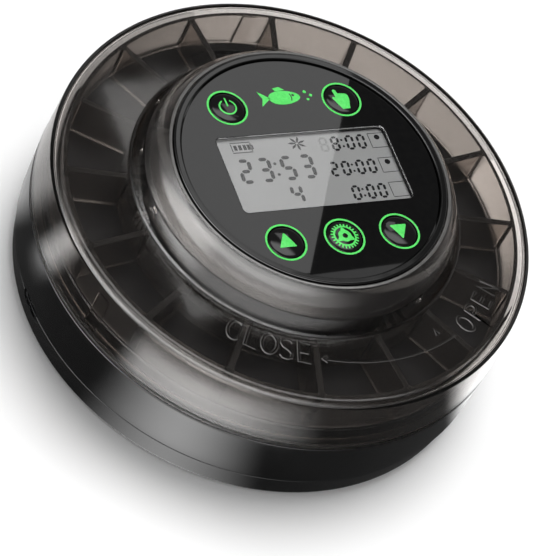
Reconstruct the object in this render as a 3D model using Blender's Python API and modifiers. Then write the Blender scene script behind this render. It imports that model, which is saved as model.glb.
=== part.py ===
"""Automatic fish feeder: a round timer feeder whose 16-compartment tray turns over a drop outlet.

The feeder stands on its feet at z = 0, with its axis on +Z. The display reads upright with +Y at
its top. Lengths are in metres, written as millimetres times MM.
"""

import math

import bmesh
import bpy
from mathutils import Matrix, Vector

MM = 0.001
FACETS = 48
SMOOTH_ANGLE = math.radians(35)
WELD = 0.001 * MM
GAP = 0.3 * MM

# Base
FOOT_PROUD = 0.8 * MM
BASE_RADIUS = 75.0 * MM
RIM_RADIUS = 73.5 * MM
SEAM_RADIUS = 74.75 * MM
FLOOR_TOP = 3.2 * MM
SEAM_LOW = 9.05 * MM
SEAM_HIGH = 9.55 * MM
BASE_INNER = 72.6 * MM
LIP_TOP = 12.0 * MM
SHOULDER_Z = 26.5 * MM
SPIGOT_RADIUS = 70.6 * MM
SPIGOT_INNER = 68.4 * MM
SHOULDER_UNDER = 24.3 * MM
DECK_TOP = 31.8 * MM
DECK_UNDER = 29.8 * MM
DECK_CUT = (28.0 * MM, 34.0 * MM)
BOSS_RADIUS = 3.4 * MM
BOSS_RING = 64.0 * MM
BOSS_ANGLES = [20, 110, 200, 290]
FOOT_RADIUS = 5.5 * MM
FOOT_RING = 60.0 * MM
FOOT_ANGLES = [45, 135, 225, 315]
FOOT_POCKET = 2.3 * MM

# Drop outlet, under one compartment of the tray
OUTLET_ANGLE = 87.05
OUTLET_HALF_ANGLE = 8.8
OUTLET_INNER = 52.5 * MM
OUTLET_OUTER = 66.4 * MM
CHUTE_WALL = 1.4 * MM

# Charging inlet in the wall, across the seam
PORT_ANGLE = -177.5
PORT_Z = 8.8 * MM
PORT_WIDTH = 8.94 * MM
PORT_HEIGHT = 3.2 * MM
PORT_LENGTH = 7.4 * MM
PORT_MOUTH = 73.2 * MM
INLET_WIDTH = 10.2 * MM
INLET_HEIGHT = 4.0 * MM

# Cover and its seal
SEAL_LOW = SHOULDER_Z + GAP
SEAL_HIGH = 28.0 * MM
COVER_EDGE_Z = SEAL_HIGH + GAP
COVER_WALL = 1.7 * MM
COVER_TOP_RADIUS = 73.9 * MM
RING_Z = 47.5 * MM
RING_UNDER = 46.0 * MM
RING_INNER = 50.9 * MM
CREASE_RADIUS = 48.0 * MM
CREASE_Z = 52.8 * MM
DOME_Z = 60.8 * MM
COVER_HOLE = 42.05 * MM
LUG_ANGLES = [-159.5, -39.5, 80.5]
LUG_LOW = 29.0 * MM
LUG_HIGH = 42.5 * MM
LUG_WIDTH = 4.6 * MM

# Food tray
COMPARTMENTS = 16
RIB_ANGLE = 8.3
RIB_WIDTH = 2.0 * MM
TRAY_LOW = DECK_TOP + GAP
TRAY_HIGH = 45.5 * MM
TRAY_RADIUS = 70.1 * MM
TRAY_OUTER_WALL = 68.9 * MM
TRAY_INNER_WALL = 50.6 * MM
TRAY_BORE = 49.0 * MM

# Gear train: an internal ring gear on the tray and a pinion on the motor
MODULE = 1.25 * MM
PRESSURE = math.radians(20)
RING_TEETH = 74
PINION_TEETH = 10
BACKLASH = 0.5 * MM
ADDENDUM = 0.8 * MODULE
DEDENDUM = 1.15 * MODULE
RING_GEAR_OUTER = 48.7 * MM
RING_GEAR_LOW = 33.0 * MM
RING_GEAR_HIGH = 38.0 * MM
PINION_CENTRE = (0.0, -(RING_TEETH - PINION_TEETH) * MODULE / 2)
SHAFT_RADIUS = 1.25 * MM
MOTOR_RADIUS = 8.0 * MM
MOTOR_LOW = 8.5 * MM
MOTOR_HIGH = 28.0 * MM
MOTOR_SCREW_OFFSET = 13.0 * MM

# Hub and control panel
HUB_RADIUS = 44.0 * MM
HUB_WALL = 1.6 * MM
HUB_NECK = 41.4 * MM
HUB_TOP = 57.6 * MM
POST_RING = 39.2 * MM
POST_RADIUS = 3.5 * MM
POST_ANGLES = [45, 135, 225, 315]
POST_TOP = 46.7 * MM
BOARD_LOW = POST_TOP + GAP
BOARD_HIGH = BOARD_LOW + 1.6 * MM
BOARD_RADIUS = 41.4 * MM
BEZEL_RADIUS = 41.73 * MM
BEZEL_INNER = 39.75 * MM
BEZEL_TOP = 61.25 * MM
GLASS_RADIUS = 39.4 * MM
GLASS_LOW = 58.9 * MM
GLASS_HIGH = 60.4 * MM
DISPLAY_CENTRE = (1.9 * MM, 0.0)
DISPLAY_SIZE = (58.0 * MM, 28.6 * MM)
BUTTON_RADIUS = 5.35 * MM
BUTTON_BOTTOM = 53.5 * MM
BUTTON_FLANGE_RADIUS = 6.3 * MM
BUTTON_FLANGE_LOW = 57.3 * MM
BUTTON_FLANGE_HIGH = 58.5 * MM
BUTTON_STEM_RADIUS = 2.2 * MM
BUTTONS = {
    "power": (-18.8 * MM, 23.4 * MM),
    "feed": (18.8 * MM, 23.4 * MM),
    "up": (-17.7 * MM, -25.0 * MM),
    "settings": (1.0 * MM, -25.0 * MM),
    "down": (19.0 * MM, -25.0 * MM),
}

# Battery, lying along X on the base's floor
CELL_RADIUS = 9.15 * MM
CELL_LENGTH = 65.0 * MM
CELL_CENTRE = (0.0, 10.0 * MM, 14.5 * MM)
CRADLE_SIZE = (71.0 * MM, 23.0 * MM)
CRADLE_TOP = 12.0 * MM
BATTERY_LEAD_HOLE = (10.0 * MM, 27.0 * MM)
MOTOR_LEAD_HOLE = (-6.0 * MM, -22.0 * MM)
LEAD_RADIUS = 0.9 * MM


def clear_scene():
    for obj in list(bpy.data.objects):
        bpy.data.objects.remove(obj, do_unlink=True)


def make_collection(name):
    collection = bpy.data.collections.new(name)
    bpy.context.scene.collection.children.link(collection)
    return collection


clear_scene()
PARTS = make_collection("automatic_fish_feeder")


def make_material(name, color, roughness, metallic=0.0, transmission=0.0):
    material = bpy.data.materials.new(name)
    material.use_nodes = True
    shader = material.node_tree.nodes["Principled BSDF"]
    shader.inputs["Base Color"].default_value = (*color, 1.0)
    shader.inputs["Roughness"].default_value = roughness
    shader.inputs["Metallic"].default_value = metallic
    shader.inputs["Transmission Weight"].default_value = transmission
    return material


COLORS = {
    "black_gloss": ((0.012, 0.012, 0.013), 0.12, 0.0, 0.0),
    "black_matt": ((0.02, 0.02, 0.021), 0.5, 0.0, 0.0),
    "smoke_clear": ((0.16, 0.15, 0.145), 0.05, 0.0, 0.85),
    "tray_plastic": ((0.1, 0.09, 0.085), 0.12, 0.0, 0.7),
    "seal_silicone": ((0.12, 0.115, 0.11), 0.35, 0.0, 0.5),
    "panel_glass": ((0.01, 0.01, 0.011), 0.04, 0.0, 0.0),
    "rubber": ((0.03, 0.03, 0.03), 0.8, 0.0, 0.0),
    "steel": ((0.55, 0.55, 0.56), 0.3, 1.0, 0.0),
    "brass": ((0.72, 0.53, 0.25), 0.3, 1.0, 0.0),
    "white_plastic": ((0.75, 0.75, 0.72), 0.4, 0.0, 0.0),
    "gear_grey": ((0.05, 0.05, 0.052), 0.4, 0.0, 0.0),
    "board_green": ((0.02, 0.16, 0.07), 0.4, 0.0, 0.0),
    "display_grey": ((0.46, 0.47, 0.46), 0.3, 0.0, 0.0),
    "cell_blue": ((0.04, 0.14, 0.45), 0.35, 0.0, 0.0),
    "lead_red": ((0.5, 0.03, 0.02), 0.5, 0.0, 0.0),
}


def polar(radius, degrees):
    angle = math.radians(degrees)
    return (radius * math.cos(angle), radius * math.sin(angle))


def add_object(name, mesh, finish, location=(0.0, 0.0, 0.0)):
    obj = bpy.data.objects.new(name, mesh)
    obj.location = location
    PARTS.objects.link(obj)
    mesh.materials.append(make_material(name, *COLORS[finish]))
    return obj


def turned(name, profile, finish, centre=(0.0, 0.0), sides=FACETS, closed=False):
    """Turn an (r, z) profile, listed down its outer side, about the upright axis through centre."""
    mesh = bpy.data.meshes.new(name)
    count = len(profile)
    edges = [(i, i + 1) for i in range(count - 1)]
    if closed:
        edges.append((count - 1, 0))
    mesh.from_pydata([(r, 0.0, z) for r, z in profile], edges, [])
    obj = add_object(name, mesh, finish, (*centre, 0.0))
    screw = obj.modifiers.new("turn", "SCREW")
    screw.axis = "Z"
    screw.steps = sides
    screw.render_steps = sides
    screw.use_merge_vertices = True
    screw.merge_threshold = 0.01 * MM
    return bake(obj)


def cylinder(name, radius, low, high, finish, centre=(0.0, 0.0), sides=20):
    mesh = bpy.data.meshes.new(name)
    shape = bmesh.new()
    bmesh.ops.create_cone(shape, cap_ends=True, segments=sides, radius1=radius, radius2=radius,
                          depth=high - low, matrix=Matrix.Translation((0, 0, (low + high) / 2)))
    shape.to_mesh(mesh)
    shape.free()
    return add_object(name, mesh, finish, (*centre, 0.0))


def box(name, size, centre, finish, turn=0.0):
    """A box of the given size about centre, turned about Z by so many degrees."""
    mesh = bpy.data.meshes.new(name)
    shape = bmesh.new()
    bmesh.ops.create_cube(shape, size=1.0, matrix=Matrix.Diagonal((*size, 1.0)))
    shape.to_mesh(mesh)
    shape.free()
    obj = add_object(name, mesh, finish, centre)
    obj.rotation_euler.z = math.radians(turn)
    return obj


def curve_to_mesh(obj):
    """Replace a curve object by a mesh object of the same name whose caps are welded on."""
    name = obj.name
    bpy.context.view_layer.update()
    evaluated = obj.evaluated_get(bpy.context.evaluated_depsgraph_get())
    mesh = bpy.data.meshes.new_from_object(evaluated)
    shape = bmesh.new()
    shape.from_mesh(mesh)
    bmesh.ops.remove_doubles(shape, verts=shape.verts, dist=WELD)
    shape.to_mesh(mesh)
    shape.free()
    solid = bpy.data.objects.new(name, mesh)
    solid.matrix_world = obj.matrix_world.copy()
    bpy.data.objects.remove(obj, do_unlink=True)
    solid.name = name
    PARTS.objects.link(solid)
    return solid


def prism(name, outlines, low, high, finish, centre=(0.0, 0.0)):
    """Extrude flat outlines, the outer one and then its holes, from height low to high."""
    curve = bpy.data.curves.new(name, "CURVE")
    curve.dimensions = "2D"
    curve.fill_mode = "BOTH"
    curve.extrude = (high - low) / 2
    for outline in outlines:
        spline = curve.splines.new("POLY")
        spline.points.add(len(outline) - 1)
        for point, (x, y) in zip(spline.points, outline):
            point.co = (x, y, 0.0, 1.0)
        spline.use_cyclic_u = True
    obj = add_object(name, curve, finish, (*centre, (low + high) / 2))
    return curve_to_mesh(obj)


def smooth_route(points, steps=4):
    """Points along a Catmull-Rom curve through the route's own points."""
    knots = [Vector(p) for p in points]
    ends = [knots[0] * 2 - knots[1], *knots, knots[-1] * 2 - knots[-2]]
    route = []
    for i in range(len(knots) - 1):
        a, b, c, d = ends[i:i + 4]
        for step in range(steps):
            t = step / steps
            route.append(0.5 * (2 * b + (c - a) * t + (2 * a - 5 * b + 4 * c - d) * t * t
                                + (3 * b - a - 3 * c + d) * t ** 3))
    return [*route, knots[-1]]


def lead(name, points, finish):
    curve = bpy.data.curves.new(name, "CURVE")
    curve.dimensions = "3D"
    curve.bevel_depth = LEAD_RADIUS
    curve.bevel_resolution = 1
    curve.use_fill_caps = True
    route = smooth_route(points)
    spline = curve.splines.new("POLY")
    spline.points.add(len(route) - 1)
    for point, place in zip(spline.points, route):
        point.co = (*place, 1.0)
    return curve_to_mesh(add_object(name, curve, finish))


def bake(obj):
    """Apply the modifiers and keep the object's name and place."""
    bpy.context.view_layer.update()
    evaluated = obj.evaluated_get(bpy.context.evaluated_depsgraph_get())
    mesh = bpy.data.meshes.new_from_object(evaluated)
    obj.modifiers.clear()
    obj.data = mesh
    return obj


def combine(obj, tool, operation):
    """Cut tool from obj, or join it on, and remove the tool."""
    modifier = obj.modifiers.new(operation.lower(), "BOOLEAN")
    modifier.operation = operation
    modifier.object = tool
    modifier.solver = "EXACT"
    bake(obj)
    bpy.data.objects.remove(tool, do_unlink=True)


def cut(obj, tool):
    combine(obj, tool, "DIFFERENCE")


def join(obj, tool):
    combine(obj, tool, "UNION")


def cut_hole(obj, radius, low, high, centre, sides=16):
    cut(obj, cylinder("hole", radius, low, high, "black_matt", centre, sides))


def circle(radius, sides, centre=(0.0, 0.0)):
    points = [polar(radius, 360 * i / sides) for i in range(sides)]
    return [(x + centre[0], y + centre[1]) for x, y in points]


def arc(radius, start, end, steps):
    return [polar(radius, start + (end - start) * i / steps) for i in range(steps + 1)]


def sector(inner, outer, middle, half_angle, steps=4):
    """The outline of a ring sector with radial sides."""
    outside = arc(outer, middle - half_angle, middle + half_angle, steps)
    inside = arc(inner, middle + half_angle, middle - half_angle, steps)
    return outside + inside


def screw_up(name, centre, head_low, head_high, tip, head_radius, shank_radius):
    """A screw driven upwards: its head is below and its point above."""
    point = tip - shank_radius
    profile = [(0, tip), (shank_radius, point), (shank_radius, head_high),
               (head_radius, head_high), (head_radius, head_low), (0, head_low)]
    turned(name, profile, "steel", centre, sides=12)


def screw_down(name, centre, head_high, head_low, tip, head_radius, shank_radius):
    """A screw driven downwards: its head is above and its point below."""
    point = tip + shank_radius
    profile = [(0, head_high), (head_radius, head_high), (head_radius, head_low),
               (shank_radius, head_low), (shank_radius, point), (0, tip)]
    turned(name, profile, "steel", centre, sides=12)


def inlet_cutter():
    """A flat slot with round ends, along the radius through the charging inlet."""
    tool = box("inlet_tool", (20 * MM, INLET_WIDTH, INLET_HEIGHT),
               (*polar(72 * MM, PORT_ANGLE), PORT_Z), "black_matt", PORT_ANGLE)
    return round_ends(tool, INLET_HEIGHT * 0.45)


def round_ends(obj, radius):
    """Round the four edges that run along the object's own X axis."""
    shape = bmesh.new()
    shape.from_mesh(obj.data)
    edges = [e for e in shape.edges if abs((e.verts[0].co - e.verts[1].co).normalized().x) > 0.9]
    bmesh.ops.bevel(shape, geom=edges, offset=radius, segments=4, profile=0.5, affect="EDGES")
    shape.to_mesh(obj.data)
    shape.free()
    return obj


def outlet_cutter(low, high):
    outline = sector(OUTLET_INNER, OUTLET_OUTER, OUTLET_ANGLE, OUTLET_HALF_ANGLE)
    return prism("outlet_tool", [outline], low, high, "black_matt")


def make_bottom_cover():
    profile = [
        (0, FLOOR_TOP),
        (70.2 * MM, FLOOR_TOP),
        (70.8 * MM, LIP_TOP),
        (BASE_INNER - 0.5 * MM, LIP_TOP),
        (BASE_INNER - 0.5 * MM, SEAM_LOW),
        (SEAM_RADIUS, SEAM_LOW),
        (RIM_RADIUS + 0.1 * MM, FOOT_PROUD + 0.9 * MM),
        (RIM_RADIUS - 0.8 * MM, FOOT_PROUD),
        (0, FOOT_PROUD),
    ]
    cover = turned("bottom_cover", profile, "black_gloss")
    rest = box("board_rest", (11 * MM, 9 * MM, 2.4 * MM),
               (*polar(61 * MM, PORT_ANGLE), 4.0 * MM), "black_gloss", PORT_ANGLE)
    join(cover, rest)
    cut(cover, inlet_cutter())
    cut(cover, outlet_cutter(0, 2 * FLOOR_TOP))
    for angle in BOSS_ANGLES:
        place = polar(BOSS_RING, angle)
        cut_hole(cover, 1.8 * MM, 0, 2 * FLOOR_TOP, place)
        cut_hole(cover, 3.0 * MM, 0, FOOT_POCKET, place)
    for angle in FOOT_ANGLES:
        cut_hole(cover, FOOT_RADIUS + GAP, 0, FOOT_POCKET, polar(FOOT_RING, angle), 20)


def make_base_shell():
    profile = [
        (0, DECK_TOP),
        (SPIGOT_RADIUS - 0.5 * MM, DECK_TOP),
        (SPIGOT_RADIUS, DECK_TOP - 0.5 * MM),
        (SPIGOT_RADIUS, SHOULDER_Z),
        (BASE_RADIUS - 0.4 * MM, SHOULDER_Z),
        (BASE_RADIUS, SHOULDER_Z - 0.4 * MM),
        (BASE_RADIUS - 0.1 * MM, SEAM_HIGH),
        (BASE_INNER, SEAM_HIGH),
        (BASE_INNER, SHOULDER_UNDER - GAP),
        (SPIGOT_INNER, SHOULDER_UNDER),
        (SPIGOT_INNER, DECK_UNDER),
        (0, DECK_UNDER),
    ]
    shell = turned("base_shell", profile, "black_gloss")
    for angle in BOSS_ANGLES:
        place = polar(BOSS_RING, angle)
        join(shell, cylinder("boss", BOSS_RADIUS, FLOOR_TOP + GAP, 30.5 * MM, "black_gloss", place, 16))
        cut_hole(shell, 1.6 * MM, 0, 14 * MM, place)
    cut(shell, inlet_cutter())
    cut(shell, outlet_cutter(*DECK_CUT))
    cut_hole(shell, 3.3 * MM, *DECK_CUT, PINION_CENTRE)
    cut_hole(shell, 3.0 * MM, *DECK_CUT, BATTERY_LEAD_HOLE)
    cut_hole(shell, 3.0 * MM, *DECK_CUT, MOTOR_LEAD_HOLE)
    for angle in POST_ANGLES:
        cut_hole(shell, 1.6 * MM, *DECK_CUT, polar(POST_RING, angle), 12)
    for place in motor_screw_places():
        cut_hole(shell, 1.3 * MM, 28 * MM, 31.2 * MM, place, 12)


def make_feet_and_screws():
    foot = [(0, 2.0 * MM), (FOOT_RADIUS, 2.0 * MM), (FOOT_RADIUS, 0.5 * MM),
            (FOOT_RADIUS - 0.5 * MM, 0), (0, 0)]
    for number, angle in enumerate(FOOT_ANGLES, 1):
        turned(f"rubber_foot_{number}", foot, "rubber", polar(FOOT_RING, angle), sides=20)
    for number, angle in enumerate(BOSS_ANGLES, 1):
        screw_up(f"bottom_screw_{number}", polar(BOSS_RING, angle), 0.95 * MM, 2.0 * MM, 12.5 * MM,
                 2.6 * MM, 1.25 * MM)


def make_drop_chute():
    outer = sector(OUTLET_INNER - CHUTE_WALL, OUTLET_OUTER + CHUTE_WALL, OUTLET_ANGLE,
                   OUTLET_HALF_ANGLE + math.degrees(CHUTE_WALL / OUTLET_INNER))
    inner = sector(OUTLET_INNER, OUTLET_OUTER, OUTLET_ANGLE, OUTLET_HALF_ANGLE)
    prism("drop_chute", [outer, inner], FLOOR_TOP + GAP, DECK_UNDER - GAP, "black_matt")


def make_cover():
    profile = [
        (COVER_HOLE, DOME_Z),
        (45.4 * MM, 57.1 * MM),
        (CREASE_RADIUS, CREASE_Z),
        (RING_INNER - 0.5 * MM, RING_Z + 0.6 * MM),
        (RING_INNER + 0.3 * MM, RING_Z),
        (71.5 * MM, RING_Z),
        (73.1 * MM, RING_Z - 0.6 * MM),
        (COVER_TOP_RADIUS, 45.6 * MM),
        (BASE_RADIUS, COVER_EDGE_Z),
        (BASE_RADIUS - COVER_WALL, COVER_EDGE_Z),
        (COVER_TOP_RADIUS - COVER_WALL, 44.8 * MM),
        (71.2 * MM, RING_UNDER),
        (49.3 * MM, RING_UNDER),
        (46.9 * MM, 51.9 * MM),
        (COVER_HOLE, 58.3 * MM),
    ]
    cover = turned("cover", profile, "smoke_clear", closed=True)
    for angle in LUG_ANGLES:
        lug = box("lug", (2.0 * MM, LUG_WIDTH, LUG_HIGH - LUG_LOW),
                  (*polar(72.6 * MM, angle), (LUG_LOW + LUG_HIGH) / 2), "smoke_clear", angle)
        join(cover, lug)


def make_cover_seal():
    outer = circle(BASE_RADIUS, FACETS)
    inner = circle(SPIGOT_RADIUS + GAP, FACETS)
    prism("cover_seal", [outer, inner], SEAL_LOW, SEAL_HIGH, "seal_silicone")


def compartment_outline(index):
    """One compartment between two ribs whose sides are parallel."""
    start = RIB_ANGLE + index * 360 / COMPARTMENTS
    end = start + 360 / COMPARTMENTS
    outer_half = math.degrees(math.asin(RIB_WIDTH / 2 / TRAY_OUTER_WALL))
    inner_half = math.degrees(math.asin(RIB_WIDTH / 2 / TRAY_INNER_WALL))
    outside = arc(TRAY_OUTER_WALL, start + outer_half, end - outer_half, 4)
    inside = arc(TRAY_INNER_WALL, end - inner_half, start + inner_half, 3)
    return outside + inside


def make_food_tray():
    holes = [compartment_outline(i) for i in range(COMPARTMENTS)]
    outlines = [circle(TRAY_RADIUS, FACETS), circle(TRAY_BORE, FACETS), *holes]
    prism("food_tray", outlines, TRAY_LOW, TRAY_HIGH, "tray_plastic")


def involute(angle):
    return math.tan(angle) - angle


def half_width(radius, teeth, width):
    """Half the angle that a tooth of this width at the pitch circle fills at a radius."""
    pitch = teeth * MODULE / 2
    base = pitch * math.cos(PRESSURE)
    slope = math.acos(min(1.0, base / radius))
    return width / 2 / pitch + involute(PRESSURE) - involute(slope)


def pinion_outline():
    pitch = PINION_TEETH * MODULE / 2
    base = pitch * math.cos(PRESSURE)
    tip = pitch + ADDENDUM
    width = math.pi * MODULE / 2 - BACKLASH / 2
    flank = [base, (base + tip) / 2, tip]
    outline = []
    for tooth in range(PINION_TEETH):
        middle = -math.pi / 2 + 2 * math.pi * tooth / PINION_TEETH
        sides = [(r, half_width(r, PINION_TEETH, width)) for r in flank]
        sides.insert(0, (pitch - DEDENDUM, sides[0][1]))
        left = [(r, middle - half) for r, half in sides]
        right = [(r, middle + half) for r, half in reversed(sides)]
        outline += [polar(r, math.degrees(angle)) for r, angle in left + right]
    return outline


def ring_gear_outline():
    pitch = RING_TEETH * MODULE / 2
    width = math.pi * MODULE / 2 + BACKLASH / 2
    radii = [pitch - ADDENDUM, pitch + DEDENDUM]
    outline = []
    for space in range(RING_TEETH):
        middle = -math.pi / 2 + 2 * math.pi * space / RING_TEETH
        sides = [(r, half_width(r, RING_TEETH, width)) for r in radii]
        left = [(r, middle - half) for r, half in sides]
        right = [(r, middle + half) for r, half in reversed(sides)]
        outline += [polar(r, math.degrees(angle)) for r, angle in left + right]
    return outline


def make_gear_train():
    prism("tray_ring_gear", [circle(RING_GEAR_OUTER, FACETS), ring_gear_outline()],
          RING_GEAR_LOW, RING_GEAR_HIGH, "gear_grey")
    box("index_magnet", (2.4 * MM, 4.0 * MM, 4.0 * MM),
        (-47.4 * MM, 0.0, RING_GEAR_HIGH + 2.6 * MM), "steel")
    prism("drive_pinion", [pinion_outline(), circle(SHAFT_RADIUS + GAP, 16)],
          RING_GEAR_LOW + 0.2 * MM, RING_GEAR_HIGH - 0.2 * MM, "gear_grey", PINION_CENTRE)
    cylinder("motor_shaft", SHAFT_RADIUS, MOTOR_HIGH + GAP, RING_GEAR_HIGH + 0.4 * MM, "steel",
             PINION_CENTRE, 16)
    bush = [circle(3.0 * MM, 20), circle(SHAFT_RADIUS + GAP, 16)]
    prism("shaft_bush", bush, DECK_UNDER + 0.1 * MM, DECK_TOP + 0.8 * MM, "brass", PINION_CENTRE)


def motor_screw_places():
    return [(side * MOTOR_SCREW_OFFSET, PINION_CENTRE[1]) for side in (-1, 1)]


def slot_outline(half_length, radius, steps=8):
    """A flat shape with straight sides and round ends, along X."""
    right = [(x + half_length, y) for x, y in arc(radius, -90, 90, steps)]
    left = [(x - half_length, y) for x, y in arc(radius, 90, 270, steps)]
    return right + left


def make_motor():
    profile = [(0, MOTOR_HIGH), (MOTOR_RADIUS - 0.6 * MM, MOTOR_HIGH), (MOTOR_RADIUS, MOTOR_HIGH - 0.6 * MM),
               (MOTOR_RADIUS, MOTOR_LOW + 0.8 * MM), (MOTOR_RADIUS - 0.8 * MM, MOTOR_LOW), (0, MOTOR_LOW)]
    turned("gear_motor", profile, "steel", PINION_CENTRE, sides=32)
    holes = [circle(1.4 * MM, 12, (side * MOTOR_SCREW_OFFSET, 0.0)) for side in (-1, 1)]
    outlines = [slot_outline(MOTOR_SCREW_OFFSET, 4.5 * MM), circle(3.4 * MM, 20), *holes]
    prism("motor_bracket", outlines, MOTOR_HIGH + GAP, DECK_UNDER - GAP, "steel", PINION_CENTRE)
    for number, place in enumerate(motor_screw_places(), 1):
        screw_up(f"motor_screw_{number}", place, 26.8 * MM, MOTOR_HIGH, 30.9 * MM, 2.0 * MM, 1.0 * MM)


def make_battery():
    cell = cylinder("battery_cell", CELL_RADIUS, -CELL_LENGTH / 2, CELL_LENGTH / 2, "cell_blue", sides=28)
    cell.location = CELL_CENTRE
    cell.rotation_euler.y = math.pi / 2
    low = FLOOR_TOP + GAP
    cradle = box("battery_cradle", (*CRADLE_SIZE, CRADLE_TOP - low),
                 (*CELL_CENTRE[:2], (low + CRADLE_TOP) / 2), "black_matt")
    trough_end = CELL_LENGTH / 2 + 2 * GAP
    trough = cylinder("trough", CELL_RADIUS + 0.35 * MM, -trough_end, trough_end, "black_matt", sides=28)
    trough.location = CELL_CENTRE
    trough.rotation_euler.y = math.pi / 2
    cut(cradle, trough)


def make_charging_port():
    middle = PORT_MOUTH - PORT_LENGTH / 2
    port = box("charging_port", (PORT_LENGTH, PORT_WIDTH, PORT_HEIGHT),
               (*polar(middle, PORT_ANGLE), PORT_Z), "steel", PORT_ANGLE)
    round_ends(port, PORT_HEIGHT * 0.45)
    hollow = box("hollow", (PORT_LENGTH, PORT_WIDTH - 0.7 * MM, PORT_HEIGHT - 0.7 * MM),
                 (*polar(middle + 1.0 * MM, PORT_ANGLE), PORT_Z), "steel", PORT_ANGLE)
    round_ends(hollow, PORT_HEIGHT * 0.34)
    cut(port, hollow)
    tongue = box("tongue", (5.4 * MM, 6.7 * MM, 0.7 * MM),
                 (*polar(PORT_MOUTH - 4.2 * MM, PORT_ANGLE), PORT_Z), "steel", PORT_ANGLE)
    join(port, tongue)
    top = PORT_Z - PORT_HEIGHT / 2 - GAP
    box("charging_board", (13.4 * MM, 14.0 * MM, 1.4 * MM), (*polar(63 * MM, PORT_ANGLE), top - 0.7 * MM),
        "board_green", PORT_ANGLE)


def make_leads():
    board_end = polar(58 * MM, PORT_ANGLE)
    cell_end = CELL_LENGTH / 2 + GAP + LEAD_RADIUS
    lead("charging_leads", [
        (*board_end, 8.2 * MM),
        (-52 * MM, -1 * MM, 9.5 * MM),
        (-44 * MM, 4 * MM, 14 * MM),
        (-38 * MM, 8 * MM, 18 * MM),
        (-cell_end, 10 * MM, 16.5 * MM),
    ], "lead_red")
    lead("battery_leads", [
        (cell_end, 10 * MM, 16.5 * MM),
        (38 * MM, 12 * MM, 18.5 * MM),
        (36 * MM, 20 * MM, 23 * MM),
        (25 * MM, 26 * MM, 26 * MM),
        (13 * MM, 27.5 * MM, 27.5 * MM),
        (*BATTERY_LEAD_HOLE, 32 * MM),
        (10 * MM, 26.5 * MM, 39 * MM),
        (10 * MM, 25 * MM, 46.2 * MM),
    ], "lead_red")
    lead("motor_leads", [
        (0.0, -31.3 * MM, 14 * MM),
        (-2 * MM, -27 * MM, 18 * MM),
        (-5 * MM, -23 * MM, 25 * MM),
        (*MOTOR_LEAD_HOLE, 31 * MM),
        (-6 * MM, -21.5 * MM, 39 * MM),
        (-6 * MM, -20 * MM, 46.2 * MM),
    ], "lead_red")


def make_hub_housing():
    low = DECK_TOP + GAP
    profile = [
        (HUB_NECK, HUB_TOP),
        (HUB_NECK, 56.0 * MM),
        (HUB_RADIUS, 50.5 * MM),
        (HUB_RADIUS, low),
        (HUB_RADIUS - HUB_WALL, low),
        (HUB_RADIUS - HUB_WALL, 50.0 * MM),
        (HUB_NECK - 1.5 * MM, 55.6 * MM),
        (HUB_NECK - 1.5 * MM, HUB_TOP),
    ]
    hub = turned("hub_housing", profile, "black_matt", closed=True)
    for angle in POST_ANGLES:
        place = polar(POST_RING, angle)
        join(hub, cylinder("post", POST_RADIUS, low, POST_TOP, "black_matt", place, 16))
        cut_hole(hub, 1.5 * MM, 30 * MM, 39 * MM, place, 12)
        cut_hole(hub, 1.3 * MM, 41 * MM, 48 * MM, place, 12)
    pinion_room = PINION_TEETH * MODULE / 2 + ADDENDUM + 0.8 * MM
    cut_hole(hub, pinion_room, 30 * MM, RING_GEAR_HIGH + 1.0 * MM, PINION_CENTRE, 32)


def make_control_board():
    holes = [circle(1.3 * MM, 12, polar(POST_RING, angle)) for angle in POST_ANGLES]
    prism("control_board", [circle(BOARD_RADIUS, 48), *holes], BOARD_LOW, BOARD_HIGH, "board_green")
    for number, angle in enumerate(POST_ANGLES, 1):
        place = polar(POST_RING, angle)
        screw_down(f"board_screw_{number}", place, BOARD_HIGH + GAP + 1.2 * MM, BOARD_HIGH + GAP,
                   41.5 * MM, 2.0 * MM, 1.0 * MM)
        screw_up(f"hub_screw_{number}", place, 28.2 * MM, DECK_UNDER - GAP, 38.5 * MM, 2.4 * MM, 1.2 * MM)
    under = BOARD_LOW - GAP
    cylinder("buzzer", 4.5 * MM, under - 4.0 * MM, under, "black_matt", (-14 * MM, 14 * MM))
    box("controller_chip", (8 * MM, 8 * MM, 1.4 * MM), (12 * MM, -8 * MM, under - 0.7 * MM), "black_matt")
    box("hall_sensor", (1.6 * MM, 4.0 * MM, 3.2 * MM), (-41.0 * MM, 0.0, 40.6 * MM), "black_matt")


def make_display():
    x, y = DISPLAY_CENTRE
    width, depth = DISPLAY_SIZE
    low = BOARD_HIGH + GAP
    high = GLASS_LOW - GAP

    def rectangle(grow):
        half_x = width / 2 + grow
        half_y = depth / 2 + grow
        return [(-half_x, -half_y), (half_x, -half_y), (half_x, half_y), (-half_x, half_y)]

    prism("display_frame", [rectangle(2.0 * MM), rectangle(0.4 * MM)], low, high, "black_matt", (x, y))
    box("display_glass", (width, depth, 1.8 * MM), (x, y, high - 0.9 * MM), "display_grey")
    box("display_backlight", (width, depth, 2.6 * MM), (x, y, high - 1.8 * MM - GAP - 1.3 * MM),
        "white_plastic")


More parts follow.
